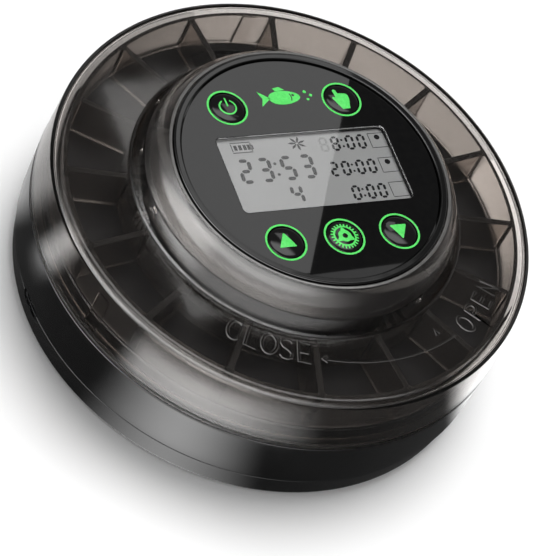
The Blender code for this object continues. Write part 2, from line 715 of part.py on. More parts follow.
def make_buttons():
    profile = [
        (0, 60.9 * MM),
        (3.0 * MM, 60.7 * MM),
        (4.9 * MM, 60.35 * MM),
        (BUTTON_RADIUS, 59.9 * MM),
        (BUTTON_RADIUS, BUTTON_FLANGE_HIGH),
        (BUTTON_FLANGE_RADIUS, BUTTON_FLANGE_HIGH),
        (BUTTON_FLANGE_RADIUS, BUTTON_FLANGE_LOW),
        (BUTTON_STEM_RADIUS, BUTTON_FLANGE_LOW),
        (BUTTON_STEM_RADIUS, BUTTON_BOTTOM),
        (0, BUTTON_BOTTOM),
    ]
    low = BOARD_HIGH + GAP
    body_high = low + 2.8 * MM
    for name, place in BUTTONS.items():
        turned(f"{name}_button", profile, "panel_glass", place, sides=18)
        switch = box(f"{name}_switch", (6 * MM, 6 * MM, body_high - low),
                     (*place, (low + body_high) / 2), "steel")
        join(switch, cylinder("plunger", 1.7 * MM, low + 1 * MM, body_high + 0.7 * MM, "steel", place, 12))


def make_panel():
    holes = [circle(BUTTON_RADIUS + GAP, 24, place) for place in BUTTONS.values()]
    prism("glass_panel", [circle(GLASS_RADIUS, FACETS), *holes], GLASS_LOW, GLASS_HIGH, "panel_glass")
    ledge = GLASS_LOW - GAP
    profile = [
        (BEZEL_RADIUS - 0.4 * MM, BEZEL_TOP),
        (BEZEL_RADIUS, BEZEL_TOP - 0.3 * MM),
        (BEZEL_RADIUS, HUB_TOP + GAP),
        (38.6 * MM, HUB_TOP + GAP),
        (38.6 * MM, ledge),
        (BEZEL_INNER, ledge),
        (BEZEL_INNER, BEZEL_TOP - 0.4 * MM),
        (BEZEL_INNER + 0.3 * MM, BEZEL_TOP),
    ]
    turned("bezel_ring", profile, "black_gloss", closed=True)


def shade_parts():
    for obj in PARTS.objects:
        obj.data.shade_smooth()
        obj.data.set_sharp_from_angle(angle=SMOOTH_ANGLE)


def make_feeder():
    make_bottom_cover()
    make_base_shell()
    make_feet_and_screws()
    make_drop_chute()
    make_motor()
    make_battery()
    make_charging_port()
    make_leads()
    make_food_tray()
    make_gear_train()
    make_hub_housing()
    make_control_board()
    make_display()
    make_buttons()
    make_panel()
    make_cover_seal()
    make_cover()
    shade_parts()


make_feeder()
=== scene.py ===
"""Looks of the automatic fish feeder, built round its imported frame.

Lengths are metres, written as millimetres times MM. Azimuths are degrees anticlockwise from +X.
"""
import math

import bmesh
import bpy
from mathutils import Matrix, Vector


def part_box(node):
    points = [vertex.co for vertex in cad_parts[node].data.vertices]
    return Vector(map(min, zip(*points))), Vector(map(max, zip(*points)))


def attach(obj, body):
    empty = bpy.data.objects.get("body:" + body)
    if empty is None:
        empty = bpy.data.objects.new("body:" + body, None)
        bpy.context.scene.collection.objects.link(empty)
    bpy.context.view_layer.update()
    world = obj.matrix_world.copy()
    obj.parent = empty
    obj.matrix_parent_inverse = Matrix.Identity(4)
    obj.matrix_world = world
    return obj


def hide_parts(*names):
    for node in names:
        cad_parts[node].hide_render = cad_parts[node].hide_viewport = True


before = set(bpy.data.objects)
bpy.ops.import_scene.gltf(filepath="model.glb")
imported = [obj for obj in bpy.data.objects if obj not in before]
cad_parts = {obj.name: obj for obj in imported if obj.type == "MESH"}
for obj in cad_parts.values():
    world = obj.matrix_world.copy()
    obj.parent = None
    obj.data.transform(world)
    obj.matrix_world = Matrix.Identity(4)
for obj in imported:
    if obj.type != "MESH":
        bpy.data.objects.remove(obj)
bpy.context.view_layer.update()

MM = 0.001
SIDES = 256
SMALL_SIDES = 64
SHARP = math.radians(32)
LEVEL = 0.99999
AXIS = (0.0, 0.0)
PRESSES = ("power", "feed", "up", "settings", "down")

# Base: the outlet that the food drops through, and the recess of the charging inlet
OUTLET_RADII = (52.5 * MM, 66.4 * MM)
OUTLET_HALF_ANGLE = 8.8
OUTLET_CORNER = 0.6 * MM
INLET_SIZE = (5.1 * MM, 2.0 * MM)

# Cover: a flat ring round a domed middle
COVER_WALL = 1.7 * MM
RING_TOP = 47.5 * MM
DOME_FOOT = (50.7 * MM, 47.9 * MM)
DOME_HOLE = 42.05 * MM
EMBOSS_WIDTH = 1.55 * MM
EMBOSS_DEPTH = 0.3 * MM
EMBOSS_HEIGHT = 0.28 * MM
EMBOSS_SLOPE = 0.48 * MM
LETTER_HEIGHT = 6.6 * MM
LUG_SIZE = (2.0 * MM, 4.6 * MM, 13.5 * MM)
LUG_AZIMUTHS = (-159.5, -39.5, 80.5)
TAB_SIZE = (2.0 * MM, 2.2 * MM, 1.3 * MM)
TAB_AZIMUTHS = (135, 159, -176, -63, -38)

# Compartments of the tray
COMPARTMENTS = 16
RIB_ANGLE = 8.3
RIB_WIDTH = 2.0 * MM
TRAY_WALLS = (50.6 * MM, 68.9 * MM)
TRAY_RADII = (49.0 * MM, 70.1 * MM)

# Control panel
RING_RADII = (5.65 * MM, 6.3 * MM)
INK = 0.04 * MM
WINDOW = (-26.7 * MM, -13.9 * MM, 28.7 * MM, 12.9 * MM)
WINDOW_CORNER = 1.6 * MM

# Studio
PALE = 0.9
CAMERA_PLACE = Vector((-0.36814, -0.40221, 0.63314))
CAMERA_AXES = ((0.88746, -0.33034, 0.32139), (0.09412, 0.81253, 0.57526), (-0.45117, -0.48028, 0.75218))
CAMERA_LENS = 177.415


# ---- Measures of the frame

def low(node):
    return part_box(node)[0]


def high(node):
    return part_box(node)[1]


def middle(node):
    return (low(node) + high(node)) / 2


def heights(node):
    return low(node).z, high(node).z


def radius(node):
    return (high(node).x - low(node).x) / 2


def azimuth_of(place):
    return math.degrees(math.atan2(place.y, place.x))


def polar(length, degrees):
    angle = math.radians(degrees)
    return (length * math.cos(angle), length * math.sin(angle))


# ---- Mesh tools

def rounded(corners, steps=6):
    """An outline whose corners (x, y, fillet) are rounded, each to its own radius."""
    count = len(corners)
    outline = []
    for i, (x, y, fillet) in enumerate(corners):
        if fillet == 0:
            outline.append((x, y))
            continue
        corner = Vector((x, y))
        before = (Vector(corners[i - 1][:2]) - corner).normalized()
        after = (Vector(corners[(i + 1) % count][:2]) - corner).normalized()
        half = before.angle(after) / 2
        centre = corner + (before + after).normalized() * (fillet / math.sin(half))
        start = corner + before * (fillet / math.tan(half)) - centre
        end = corner + after * (fillet / math.tan(half)) - centre
        first = math.atan2(start.y, start.x)
        turn = (math.atan2(end.y, end.x) - first + math.pi) % (2 * math.pi) - math.pi
        for step in range(steps + 1):
            angle = first + turn * step / steps
            outline.append((centre.x + fillet * math.cos(angle), centre.y + fillet * math.sin(angle)))
    return outline


def softened(points, fillet, steps=6):
    """An outline all of whose corners have the same fillet."""
    return rounded([(x, y, fillet) for x, y in points], steps)


def scaled(points, centre=AXIS):
    """Points written in millimetres from a centre."""
    return [(centre[0] + x * MM, centre[1] + y * MM) for x, y in points]


def in_metres(shapes):
    """Flat shapes of one or more outlines each, drawn in millimetres."""
    return [[scaled(outline) for outline in shape] for shape in shapes]


def rectangle(x0, y0, x1, y1):
    return [(x0, y0), (x1, y0), (x1, y1), (x0, y1)]


def arc(length, start, end, steps, centre=AXIS):
    points = [polar(length, start + (end - start) * i / steps) for i in range(steps + 1)]
    return [(x + centre[0], y + centre[1]) for x, y in points]


def circle(length, sides=SMALL_SIDES, centre=AXIS):
    return arc(length, 0, 360 * (sides - 1) / sides, sides - 1, centre)


def oval(half_x, half_y, angles, centre=AXIS):
    """The points of an oval at so many degrees."""
    return [(centre[0] + half_x * math.cos(math.radians(a)), centre[1] + half_y * math.sin(math.radians(a)))
            for a in angles]


def stadium(half_width, half_height, steps):
    """A flat slot with round ends."""
    shift = half_width - half_height
    return arc(half_height, -90, 90, steps, (shift, 0.0)) + arc(half_height, 90, 270, steps, (-shift, 0.0))


def steps_along(path):
    """Each point of a flat path, with the unit step to its left."""
    for i, point in enumerate(path):
        back = Vector(path[max(i - 1, 0)])
        ahead = Vector(path[min(i + 1, len(path) - 1)])
        along = (ahead - back).normalized()
        yield Vector(point), Vector((-along.y, along.x))


def add_object(name, data):
    obj = bpy.data.objects.new(name, data)
    bpy.context.scene.collection.objects.link(obj)
    return obj


def to_mesh(name, shape):
    mesh = bpy.data.meshes.new(name)
    shape.to_mesh(mesh)
    shape.free()
    return mesh


def lathe(name, outline, centre=AXIS, sides=SIDES):
    """A mesh turned from an (r, z) outline about the upright axis through centre."""
    shape = bmesh.new()
    rings = []
    for r, z in outline:
        around = sides if r > 1e-7 else 1
        places = [polar(r, 360 * i / around) for i in range(around)]
        rings.append([shape.verts.new((x + centre[0], y + centre[1], z)) for x, y in places])
    for one, two in zip(rings, rings[1:] + rings[:1]):
        for i in range(sides):
            j = i + 1
            corners = [one[i % len(one)], one[j % len(one)], two[j % len(two)], two[i % len(two)]]
            corners = list(dict.fromkeys(corners))
            if len(corners) > 2:
                shape.faces.new(corners)
    bmesh.ops.recalc_face_normals(shape, faces=shape.faces)
    return to_mesh(name, shape)


def cylinder(size, bottom, top, centre, sides=32):
    return lathe("cylinder", [(0, bottom), (size, bottom), (size, top), (0, top)], centre, sides)


def plate(name, outlines, bottom, top, edge=0.0, steps=2):
    """Flat outlines, the outer one and then its holes, made a plate with its edges rounded."""
    curve = bpy.data.curves.new(name, "CURVE")
    curve.dimensions = "2D"
    curve.fill_mode = "BOTH"
    curve.extrude = (top - bottom) / 2 - edge
    curve.bevel_depth = edge
    curve.bevel_resolution = steps
    curve.offset = -edge
    for number, outline in enumerate(outlines):
        turned = signed_area(outline) > 0
        points = outline if turned == (number == 0) else outline[::-1]
        spline = curve.splines.new("POLY")
        spline.points.add(len(points) - 1)
        for point, (x, y) in zip(spline.points, points):
            point.co = (x, y, 0.0, 1.0)
        spline.use_cyclic_u = True
    holder = add_object(name, curve)
    mesh = evaluated(holder)
    bpy.data.objects.remove(holder)
    bpy.data.curves.remove(curve)
    shape = bmesh.new()
    shape.from_mesh(mesh)
    bmesh.ops.remove_doubles(shape, verts=shape.verts, dist=0.002 * MM)
    bmesh.ops.dissolve_degenerate(shape, edges=shape.edges, dist=0.0005 * MM)
    bmesh.ops.recalc_face_normals(shape, faces=shape.faces)
    bmesh.ops.translate(shape, verts=shape.verts, vec=(0.0, 0.0, (bottom + top) / 2))
    shape.to_mesh(mesh)
    shape.free()
    return mesh


def signed_area(outline):
    following = outline[1:] + outline[:1]
    return sum(a[0] * b[1] - b[0] * a[1] for a, b in zip(outline, following)) / 2


def block(name, size, place, turn=0.0, edge=0.0):
    """A box with bevelled edges, turned about the upright axis by so many degrees."""
    shape = bmesh.new()
    bmesh.ops.create_cube(shape, size=1.0, matrix=Matrix.Diagonal((*size, 1.0)))
    if edge:
        bmesh.ops.bevel(shape, geom=list(shape.edges), offset=edge, segments=3, profile=0.5,
                        affect="EDGES")
    move = Matrix.Translation(place) @ Matrix.Rotation(math.radians(turn), 4, "Z")
    bmesh.ops.transform(shape, matrix=move, verts=shape.verts)
    return to_mesh(name, shape)


def merged(meshes):
    """Several meshes in one shape, each keeping its own islands."""
    shape = bmesh.new()
    for mesh in meshes:
        shape.from_mesh(mesh)
        bpy.data.meshes.remove(mesh)
    return shape


def evaluated(obj):
    bpy.context.view_layer.update()
    return bpy.data.meshes.new_from_object(obj.evaluated_get(bpy.context.evaluated_depsgraph_get()))


def shade(mesh):
    """Smooth shading that leaves flat faces flat, by weighing each normal by its faces' areas."""
    mesh.shade_smooth()
    mesh.set_sharp_from_angle(angle=SHARP)
    shape = bmesh.new()
    shape.from_mesh(mesh)
    for edge in shape.edges:
        level = [abs(face.normal.z) > LEVEL for face in edge.link_faces]
        if len(level) == 2 and level[0] != level[1]:
            edge.smooth = False
    shape.to_mesh(mesh)
    shape.free()
    holder = add_object("holder", mesh)
    modifier = holder.modifiers.new("weigh", "WEIGHTED_NORMAL")
    modifier.keep_sharp = True
    result = evaluated(holder)
    bpy.data.objects.remove(holder)
    bpy.data.meshes.remove(mesh)
    return result


def add_piece(name, mesh, finish, body, *nodes, slot):
    """Put a piece on its body, in place of its nodes."""
    mesh = shade(mesh)
    mesh.materials.clear()
    mesh.materials.append(MATERIALS[finish])
    piece = add_object(name, mesh)
    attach(piece, body)
    if nodes:
        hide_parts(*nodes)
    return piece


def combine(mesh, tool, operation):
    """The mesh cut by the tool, or joined with it."""
    first = add_object("combined", mesh)
    second = add_object("tool", tool)
    modifier = first.modifiers.new("combine", "BOOLEAN")
    modifier.operation = operation
    modifier.solver = "MANIFOLD"
    modifier.object = second
    result = evaluated(first)
    for obj in (first, second):
        bpy.data.objects.remove(obj)
    bpy.data.meshes.remove(tool)
    return result


def cut(mesh, tool):
    return combine(mesh, tool, "DIFFERENCE")


def join(mesh, tool):
    return combine(mesh, tool, "UNION")


def ridge(path, width, bottom, top, taper):
    """A raised line of flat-topped section along a flat path."""
    half = width / 2
    section = [(-half, bottom), (-half + taper, top), (half - taper, top), (half, bottom)]
    shape = bmesh.new()
    loops = [[shape.verts.new((*(here + side * s), z)) for s, z in section]
             for here, side in steps_along(path)]
    for one, two in zip(loops, loops[1:]):
        for k in range(4):
            shape.faces.new((one[k], one[(k + 1) % 4], two[(k + 1) % 4], two[k]))
    shape.faces.new(loops[0])
    shape.faces.new(loops[-1][::-1])
    bmesh.ops.recalc_face_normals(shape, faces=shape.faces)
    return to_mesh("ridge", shape)


# ---- Material tools

NOISE_SPAN = (0.3, 0.7)


class Recipe:
    """A material under construction: its Principled shader and the nodes that feed it."""

    def __init__(self, name, color, roughness, metallic=0.0):
        self.material = bpy.data.materials.new(name)
        self.material.use_nodes = True
        self.tree = self.material.node_tree
        self.shader = self.tree.nodes["Principled BSDF"]
        self.output = self.tree.nodes["Material Output"]
        self.coords = self.tree.nodes.new("ShaderNodeTexCoord").outputs["Object"]
        self.shader.inputs["Base Color"].default_value = (*color, 1.0)
        self.set(Roughness=roughness, Metallic=metallic)

    def node(self, kind, **values):
        """A new node, with its input sockets' values."""
        node = self.tree.nodes.new(kind)
        for key, value in values.items():
            node.inputs[key.replace("_", " ")].default_value = value
        return node

    def link(self, source, target):
        self.tree.links.new(source, target)

    def noise(self, scale, detail, stretch=None):
        """Noise with features 1 / scale long, in metres."""
        noise = self.node("ShaderNodeTexNoise", Scale=scale, Detail=detail, Roughness=0.55)
        vector = self.coords
        if stretch:
            mapping = self.node("ShaderNodeMapping", Scale=stretch)
            self.link(vector, mapping.inputs["Vector"])
            vector = mapping.outputs["Vector"]
        self.link(vector, noise.inputs["Vector"])
        return noise.outputs["Fac"]

    def vary_color(self, grain, first, second):
        """Colours that go from the first to the second with a noise of this scale and detail."""
        ramp = self.node("ShaderNodeValToRGB")
        for element, place, color in zip(ramp.color_ramp.elements, NOISE_SPAN, (first, second)):
            element.position = place
            element.color = (*color, 1.0)
        self.link(self.noise(*grain), ramp.inputs["Fac"])
        self.link(ramp.outputs["Color"], self.shader.inputs["Base Color"])

    def vary_roughness(self, grain, lowest, highest):
        start, end = NOISE_SPAN
        scale = self.node("ShaderNodeMapRange", From_Min=start, From_Max=end, To_Min=lowest, To_Max=highest)
        self.link(self.noise(*grain), scale.inputs["Value"])
        self.link(scale.outputs["Result"], self.shader.inputs["Roughness"])

    def bump(self, grain, height, strength):
        self.relief(self.noise(*grain), height, strength)

    def relief(self, source, height, strength):
        """Relief of so many metres."""
        bump = self.node("ShaderNodeBump", Distance=height, Strength=strength)
        self.link(source, bump.inputs["Height"])
        self.link(bump.outputs["Normal"], self.shader.inputs["Normal"])

    def set(self, **values):
        for key, value in values.items():
            self.shader.inputs[key.replace("_", " ")].default_value = value

    def see_through(self, density, tint, ior=1.49, open_share=1.0):
        """Clear plastic that darkens with depth, and each face of which lets a share of lamplight in."""
        self.set(Transmission_Weight=1.0, IOR=ior)
        depth = self.node("ShaderNodeVolumeAbsorption", Color=(*tint, 1.0), Density=density)
        self.link(depth.outputs["Volume"], self.output.inputs["Volume"])
        path = self.node("ShaderNodeLightPath")
        open_way = self.node("ShaderNodeBsdfTransparent", Color=(*grey(open_share), 1.0))
        mix = self.node("ShaderNodeMixShader")
        self.link(path.outputs["Is Shadow Ray"], mix.inputs["Fac"])
        self.link(self.shader.outputs["BSDF"], mix.inputs[1])
        self.link(open_way.outputs["BSDF"], mix.inputs[2])
        self.link(mix.outputs["Shader"], self.output.inputs["Surface"])


SMOKE_TINT = (0.473, 0.40, 0.345)
MATERIALS = {}


def grey(level):
    return (level, level, level)


def material(color, roughness, metallic=0.0):
    """Make the material that the function under this line names and completes."""
    def make(complete):
        recipe = Recipe(complete.__name__, color, roughness, metallic)
        complete(recipe)
        MATERIALS[complete.__name__] = recipe.material
        return complete
    return make


@material(grey(1.0), 0.05)
def smoky_cover(recipe):
    recipe.vary_roughness((90, 4), 0.03, 0.07)
    recipe.bump((60, 2), 0.02 * MM, 0.5)
    recipe.see_through(220, SMOKE_TINT, open_share=0.88)


@material((0.74, 0.705, 0.675), 0.2)
def smoky_tray(recipe):
    recipe.vary_roughness((120, 4), 0.17, 0.23)
    recipe.bump((250, 3), 0.02 * MM, 0.4)
    recipe.see_through(240, SMOKE_TINT, 1.25, 0.5)
    recipe.set(Transmission_Weight=0.975)


# Painted highlight: a lighter, rough grey on edges of the clear cover, so that they read as thin light lines
# from every side.
@material((0.07, 0.067, 0.065), 0.5)
def frosted_edge(recipe):
    recipe.vary_roughness((900, 3), 0.4, 0.6)
    recipe.bump((3000, 2), 0.01 * MM, 0.4)


@material((0.1, 0.097, 0.095), 0.15)
def bright_edge(recipe):
    """The lip of clear plastic, coloured a lighter grey and given a high IOR as a painted highlight, so that
    it reads as a thin light line.
    """
    recipe.vary_color((500, 3), (0.085, 0.083, 0.08), (0.115, 0.112, 0.11))
    recipe.vary_roughness((900, 3), 0.12, 0.22)
    recipe.set(IOR=1.9)


@material((0.6, 0.58, 0.56), 0.35)
def smoky_silicone(recipe):
    recipe.vary_roughness((400, 4), 0.3, 0.42)
    recipe.bump((900, 3), 0.02 * MM, 0.5)
    recipe.see_through(500, SMOKE_TINT, 1.41, 0.6)


@material(grey(0.006), 0.18)
def satin_black(recipe):
    recipe.vary_color((35, 3), grey(0.004), grey(0.008))
    recipe.vary_roughness((240, 5), 0.15, 0.21)
    recipe.bump((5200, 3), 0.01 * MM, 0.25)
    recipe.set(IOR=1.5, Specular_IOR_Level=0.5)


@material((0.02, 0.02, 0.021), 0.5)
def matt_black(recipe):
    recipe.vary_color((60, 4), (0.016, 0.016, 0.017), (0.026, 0.026, 0.027))
    recipe.vary_roughness((300, 4), 0.42, 0.58)
    recipe.bump((3600, 2), 0.03 * MM, 0.6)


@material(grey(0.006), 0.06)
def polished_black(recipe):
    recipe.vary_roughness((150, 5), 0.04, 0.1)
    recipe.bump((70, 2), 0.01 * MM, 0.2)
    recipe.set(IOR=1.5)


@material(grey(0.003), 0.05)
def panel_print(recipe):
    recipe.vary_color((500, 4), (0.0025, 0.0025, 0.0027), grey(0.004))
    recipe.vary_roughness((45, 5), 0.01, 0.03)
    recipe.set(IOR=1.52)


@material(grey(1.0), 0.02)
def clear_pane(recipe):
    recipe.vary_roughness((60, 4), 0.005, 0.02)
    recipe.see_through(20, (0.8, 0.85, 0.85), 1.45)


@material((0.075, 0.64, 0.1), 0.35)
def green_ink(recipe):
    recipe.vary_color((1600, 4), (0.055, 0.58, 0.08), (0.1, 0.7, 0.14))
    recipe.bump((4000, 3), 0.01 * MM, 0.5)


@material((0.47, 0.472, 0.47), 0.5)
def display_grey(recipe):
    recipe.vary_color((70, 4), (0.455, 0.457, 0.455), (0.49, 0.492, 0.49))
    recipe.vary_roughness((900, 3), 0.4, 0.6)
    recipe.set(Specular_IOR_Level=0.05)


@material((0.02, 0.02, 0.021), 0.3)
def display_ink(recipe):
    recipe.vary_color((900, 3), (0.008, 0.008, 0.009), (0.02, 0.02, 0.021))
    recipe.set(Specular_IOR_Level=0.05)


@material((0.22, 0.222, 0.22), 0.25)
def ghost_ink(recipe):
    recipe.vary_color((900, 3), (0.33, 0.332, 0.33), (0.36, 0.362, 0.36))
    recipe.set(Specular_IOR_Level=0.05)


@material(grey(0.03), 0.75)
def rubber(recipe):
    recipe.vary_color((500, 5), grey(0.022), (0.045, 0.044, 0.043))
    recipe.vary_roughness((700, 4), 0.65, 0.85)
    recipe.bump((2500, 4), 0.05 * MM, 0.7)


@material((0.56, 0.56, 0.57), 0.28, 1.0)
def plated_steel(recipe):
    recipe.vary_color((300, 4), (0.48, 0.48, 0.49), (0.64, 0.64, 0.65))
    recipe.vary_roughness((1500, 4, (1, 1, 0.1)), 0.2, 0.36)
    recipe.bump((3500, 3), 0.01 * MM, 0.4)


@material((0.72, 0.53, 0.25), 0.3, 1.0)
def turned_brass(recipe):
    recipe.vary_color((400, 4), (0.62, 0.44, 0.2), (0.78, 0.6, 0.3))
    recipe.vary_roughness((3000, 3, (0.1, 0.1, 1)), 0.22, 0.4)


@material((0.012, 0.012, 0.013), 0.6)
def dark_acetal(recipe):
    recipe.vary_color((80, 4), (0.009, 0.009, 0.01), (0.015, 0.015, 0.016))
    recipe.vary_roughness((500, 4), 0.55, 0.68)
    recipe.bump((2200, 3), 0.02 * MM, 0.4)


@material((0.85, 0.86, 0.85), 0.4)
def milky_diffuser(recipe):
    recipe.vary_color((90, 3), (0.8, 0.81, 0.8), (0.88, 0.89, 0.88))
    recipe.set(Subsurface_Weight=0.3, Subsurface_Scale=0.002)


@material((0.02, 0.17, 0.07), 0.35)
def circuit_green(recipe):
    tracks = recipe.node("ShaderNodeTexBrick", Scale=420, Mortar_Size=0.06, Mortar=(0.05, 0.28, 0.12, 1.0),
                         Color1=(0.018, 0.15, 0.06, 1.0), Color2=(0.022, 0.18, 0.075, 1.0))
    recipe.link(recipe.coords, tracks.inputs["Vector"])
    recipe.link(tracks.outputs["Color"], recipe.shader.inputs["Base Color"])
    recipe.relief(tracks.outputs["Fac"], 0.03 * MM, 0.5)
    recipe.vary_roughness((600, 4), 0.28, 0.42)


@material((0.04, 0.14, 0.45), 0.35)
def cell_wrap(recipe):
    recipe.vary_color((120, 4), (0.03, 0.11, 0.38), (0.05, 0.17, 0.52))
    recipe.vary_roughness((260, 4), 0.28, 0.45)
    recipe.bump((150, 3, (0.3, 1, 1)), 0.06 * MM, 0.5)


@material((0.5, 0.03, 0.02), 0.5)
def lead_sleeve(recipe):
    recipe.vary_color((400, 4), (0.42, 0.022, 0.016), (0.56, 0.04, 0.03))
    recipe.bump((2500, 3), 0.02 * MM, 0.5)


# ---- Base

def facing_out(mesh, node, length):
    """A mesh drawn upwards from the origin, turned to point outwards at the node."""
    place = middle(node)
    azimuth = azimuth_of(place)
    turn = Matrix.Rotation(math.radians(azimuth), 4, "Z")
    upright = Matrix(((0, 0, 1, 0), (1, 0, 0, 0), (0, 1, 0, 0), (0, 0, 0, 1)))
    mesh.transform(Matrix.Translation((*polar(length, azimuth), place.z)) @ turn @ upright)
    return mesh


def inlet_tool():
    """The recess in the wall round the charging inlet."""
    mesh = plate("inlet_tool", [stadium(*INLET_SIZE, 16)], -10 * MM, 10 * MM)
    return facing_out(mesh, "charging_port", 72 * MM)


def outlet_outline(grow=0.0, steps=10):
    """The ring sector of the drop outlet, with rounded corners."""
    azimuth = azimuth_of(middle("drop_chute"))
    inner = OUTLET_RADII[0] - grow
    outer = OUTLET_RADII[1] + grow
    half = OUTLET_HALF_ANGLE + math.degrees(grow / outer)
    outside = arc(outer, azimuth - half, azimuth + half, steps)
    inside = arc(inner, azimuth + half, azimuth - half, steps)
    corners = [(x, y, 0.0) for x, y in outside + inside]
    for i in (0, steps, steps + 1, 2 * steps + 1):
        corners[i] = (*corners[i][:2], OUTLET_CORNER)
    return rounded(corners)


def make_base_shell():
    wide = radius("base_shell")
    top = high("base_shell").z
    seam = low("cover_seal").z - 17.25 * MM
    shoulder = low("cover_seal").z - 0.3 * MM
    spigot = 70.6 * MM
    outline = rounded([
        (0, top, 0),
        (spigot, top, 0.6 * MM),
        (spigot, shoulder, 0.4 * MM),
        (wide, shoulder, 0.5 * MM),
        (wide - 0.1 * MM, seam, 0.22 * MM),
        (72.6 * MM, seam, 0),
        (72.6 * MM, shoulder - 2.5 * MM, 0.8 * MM),
        (68.4 * MM, shoulder - 2.2 * MM, 0.8 * MM),
        (68.4 * MM, top - 2 * MM, 0.5 * MM),
        (0, top - 2 * MM, 0),
    ])
    mesh = lathe("base_shell", outline)
    mesh = cut(mesh, inlet_tool())
    mesh = cut(mesh, plate("outlet_tool", [outlet_outline()], top - 4 * MM, top + 2 * MM))
    for number in range(1, 5):
        boss = middle(f"bottom_screw_{number}")
        mesh = join(mesh, cylinder(3.4 * MM, 3.6 * MM, top - 1.2 * MM, boss))
        mesh = cut(mesh, cylinder(1.6 * MM, 1 * MM, 14 * MM, boss))
    for tool in deck_holes(top):
        mesh = cut(mesh, tool)
    shell = add_piece("base_upper_shell", mesh, "satin_black", "root", "base_shell", slot="black_gloss")
    finish_deck(shell.data, top)


def finish_deck(mesh, top):
    """Give the deck that the food slides on its duller finish."""
    mesh.materials.append(MATERIALS["matt_black"])
    for face in mesh.polygons:
        if face.center.z > top - 0.05 * MM and face.normal.z > LEVEL:
            face.material_index = 1


def deck_holes(top):
    """Cylinders through the deck for the pinion shaft, the leads and the hub's screws."""
    places = [(middle("shaft_bush"), 3.3 * MM)]
    places += [(Vector((*place, 0)), 3 * MM) for place in scaled([(10, 27), (-6, -22)])]
    places += [(middle(f"hub_screw_{n}"), 1.6 * MM) for n in range(1, 5)]
    places += [(middle(f"motor_screw_{n}"), 1.3 * MM) for n in (1, 2)]
    return [cylinder(size, top - 4 * MM, top + 2 * MM, place) for place, size in places]


def make_bottom_cover():
    wide = radius("bottom_cover")
    floor = low("bottom_cover").z
    seam = 9.05 * MM
    outline = rounded([
        (0, 3.2 * MM, 0),
        (70.2 * MM, 3.2 * MM, 1.0 * MM),
        (70.8 * MM, 12 * MM, 0.2 * MM),
        (72.1 * MM, 12 * MM, 0.3 * MM),
        (72.1 * MM, seam, 0.1 * MM),
        (wide, seam, 0.22 * MM),
        (73.6 * MM, floor + 0.3 * MM, 0.7 * MM),
        (72.4 * MM, floor, 0.5 * MM),
        (66 * MM, floor, 0),
        (65.6 * MM, floor + 0.35 * MM, 0),
        (64.8 * MM, floor + 0.35 * MM, 0),
        (64.4 * MM, floor, 0),
        (0, floor, 0),
    ])
    mesh = lathe("bottom_cover", outline)
    mesh = cut(mesh, inlet_tool())
    mesh = cut(mesh, plate("outlet_tool", [outlet_outline()], 0, 6 * MM))
    for number in range(1, 5):
        foot = middle(f"rubber_foot_{number}")
        mesh = cut(mesh, cylinder(5.8 * MM, 0, 2.3 * MM, foot, SMALL_SIDES))
        screw = middle(f"bottom_screw_{number}")
        step = scaled([(0, 0), (3, 0), (3, 2.3), (1.8, 2.3), (1.8, 5), (0, 5)])
        mesh = cut(mesh, lathe("sink", step, screw, SMALL_SIDES))
    azimuth = azimuth_of(middle("charging_board"))
    rest = block("rest", (11 * MM, 9 * MM, 2.4 * MM), (*polar(61 * MM, azimuth), 4 * MM), azimuth, 0.3 * MM)
    mesh = join(mesh, rest)
    add_piece("base_lower_cover", mesh, "satin_black", "root", "bottom_cover", slot="black_gloss")


def make_feet():
    for number in range(1, 5):
        node = f"rubber_foot_{number}"
        foot = middle(node)
        bottom, top = heights(node)
        outline = rounded([
            (0, top, 0),
            (5.5 * MM, top, 0.2 * MM),
            (5.5 * MM, bottom, 0.6 * MM),
            (4.2 * MM, bottom, 0.15 * MM),
            (4.0 * MM, bottom + 0.35 * MM, 0.1 * MM),
            (3.3 * MM, bottom + 0.35 * MM, 0.1 * MM),
            (3.1 * MM, bottom, 0.15 * MM),
            (0, bottom, 0),
        ])
        mesh = lathe(node, outline, foot, SMALL_SIDES)
        add_piece(f"foot_pad_{number}", mesh, "rubber", "root", node, slot="foot_rubber")


def screw_mesh(node, head_radius, shank_radius, head_up, pitch=0.8 * MM):
    """A pan-head screw with a cross recess and a ridged shank."""
    lo, hi = heights(node)
    place = middle(node)
    head = 1.1 * MM
    length = hi - lo
    outline = [(0, 0, 0), (head_radius, 0, 0.35 * MM), (head_radius, head, 0.1 * MM), (shank_radius, head, 0)]
    points = rounded(outline, steps=4)
    ridges = int((length - head - 1.5 * MM) / pitch)
    for i in range(ridges):
        z = head + 0.4 * MM + i * pitch
        points += [(shank_radius * 0.82, z), (shank_radius, z + pitch * 0.45)]
    points += [(shank_radius * 0.75, length - 0.9 * MM), (0, length)]
    mesh = lathe("screw", points, AXIS, 40)
    for turn in (0, 90):
        slot = block("slot", (head_radius * 1.25, 0.55 * MM, 1.3 * MM), (0, 0, 0), turn + 20, 0.1 * MM)
        mesh = cut(mesh, slot)
    if head_up:
        mesh.transform(Matrix.Rotation(math.pi, 4, "X"))
    mesh.transform(Matrix.Translation((place.x, place.y, hi if head_up else lo)))
    return mesh


def make_screws():
    kinds = (("bottom_screw", 4, 2.6 * MM, 1.25 * MM, False), ("hub_screw", 4, 2.4 * MM, 1.2 * MM, False),
             ("board_screw", 4, 2.0 * MM, 1.0 * MM, True), ("motor_screw", 2, 2.0 * MM, 1.0 * MM, False))
    for kind, count, head, shank, head_up in kinds:
        for number in range(1, count + 1):
            node = f"{kind}_{number}"
            mesh = screw_mesh(node, head, shank, head_up)
            add_piece(f"{kind}_with_thread_{number}", mesh, "plated_steel", "root", node, slot="steel")


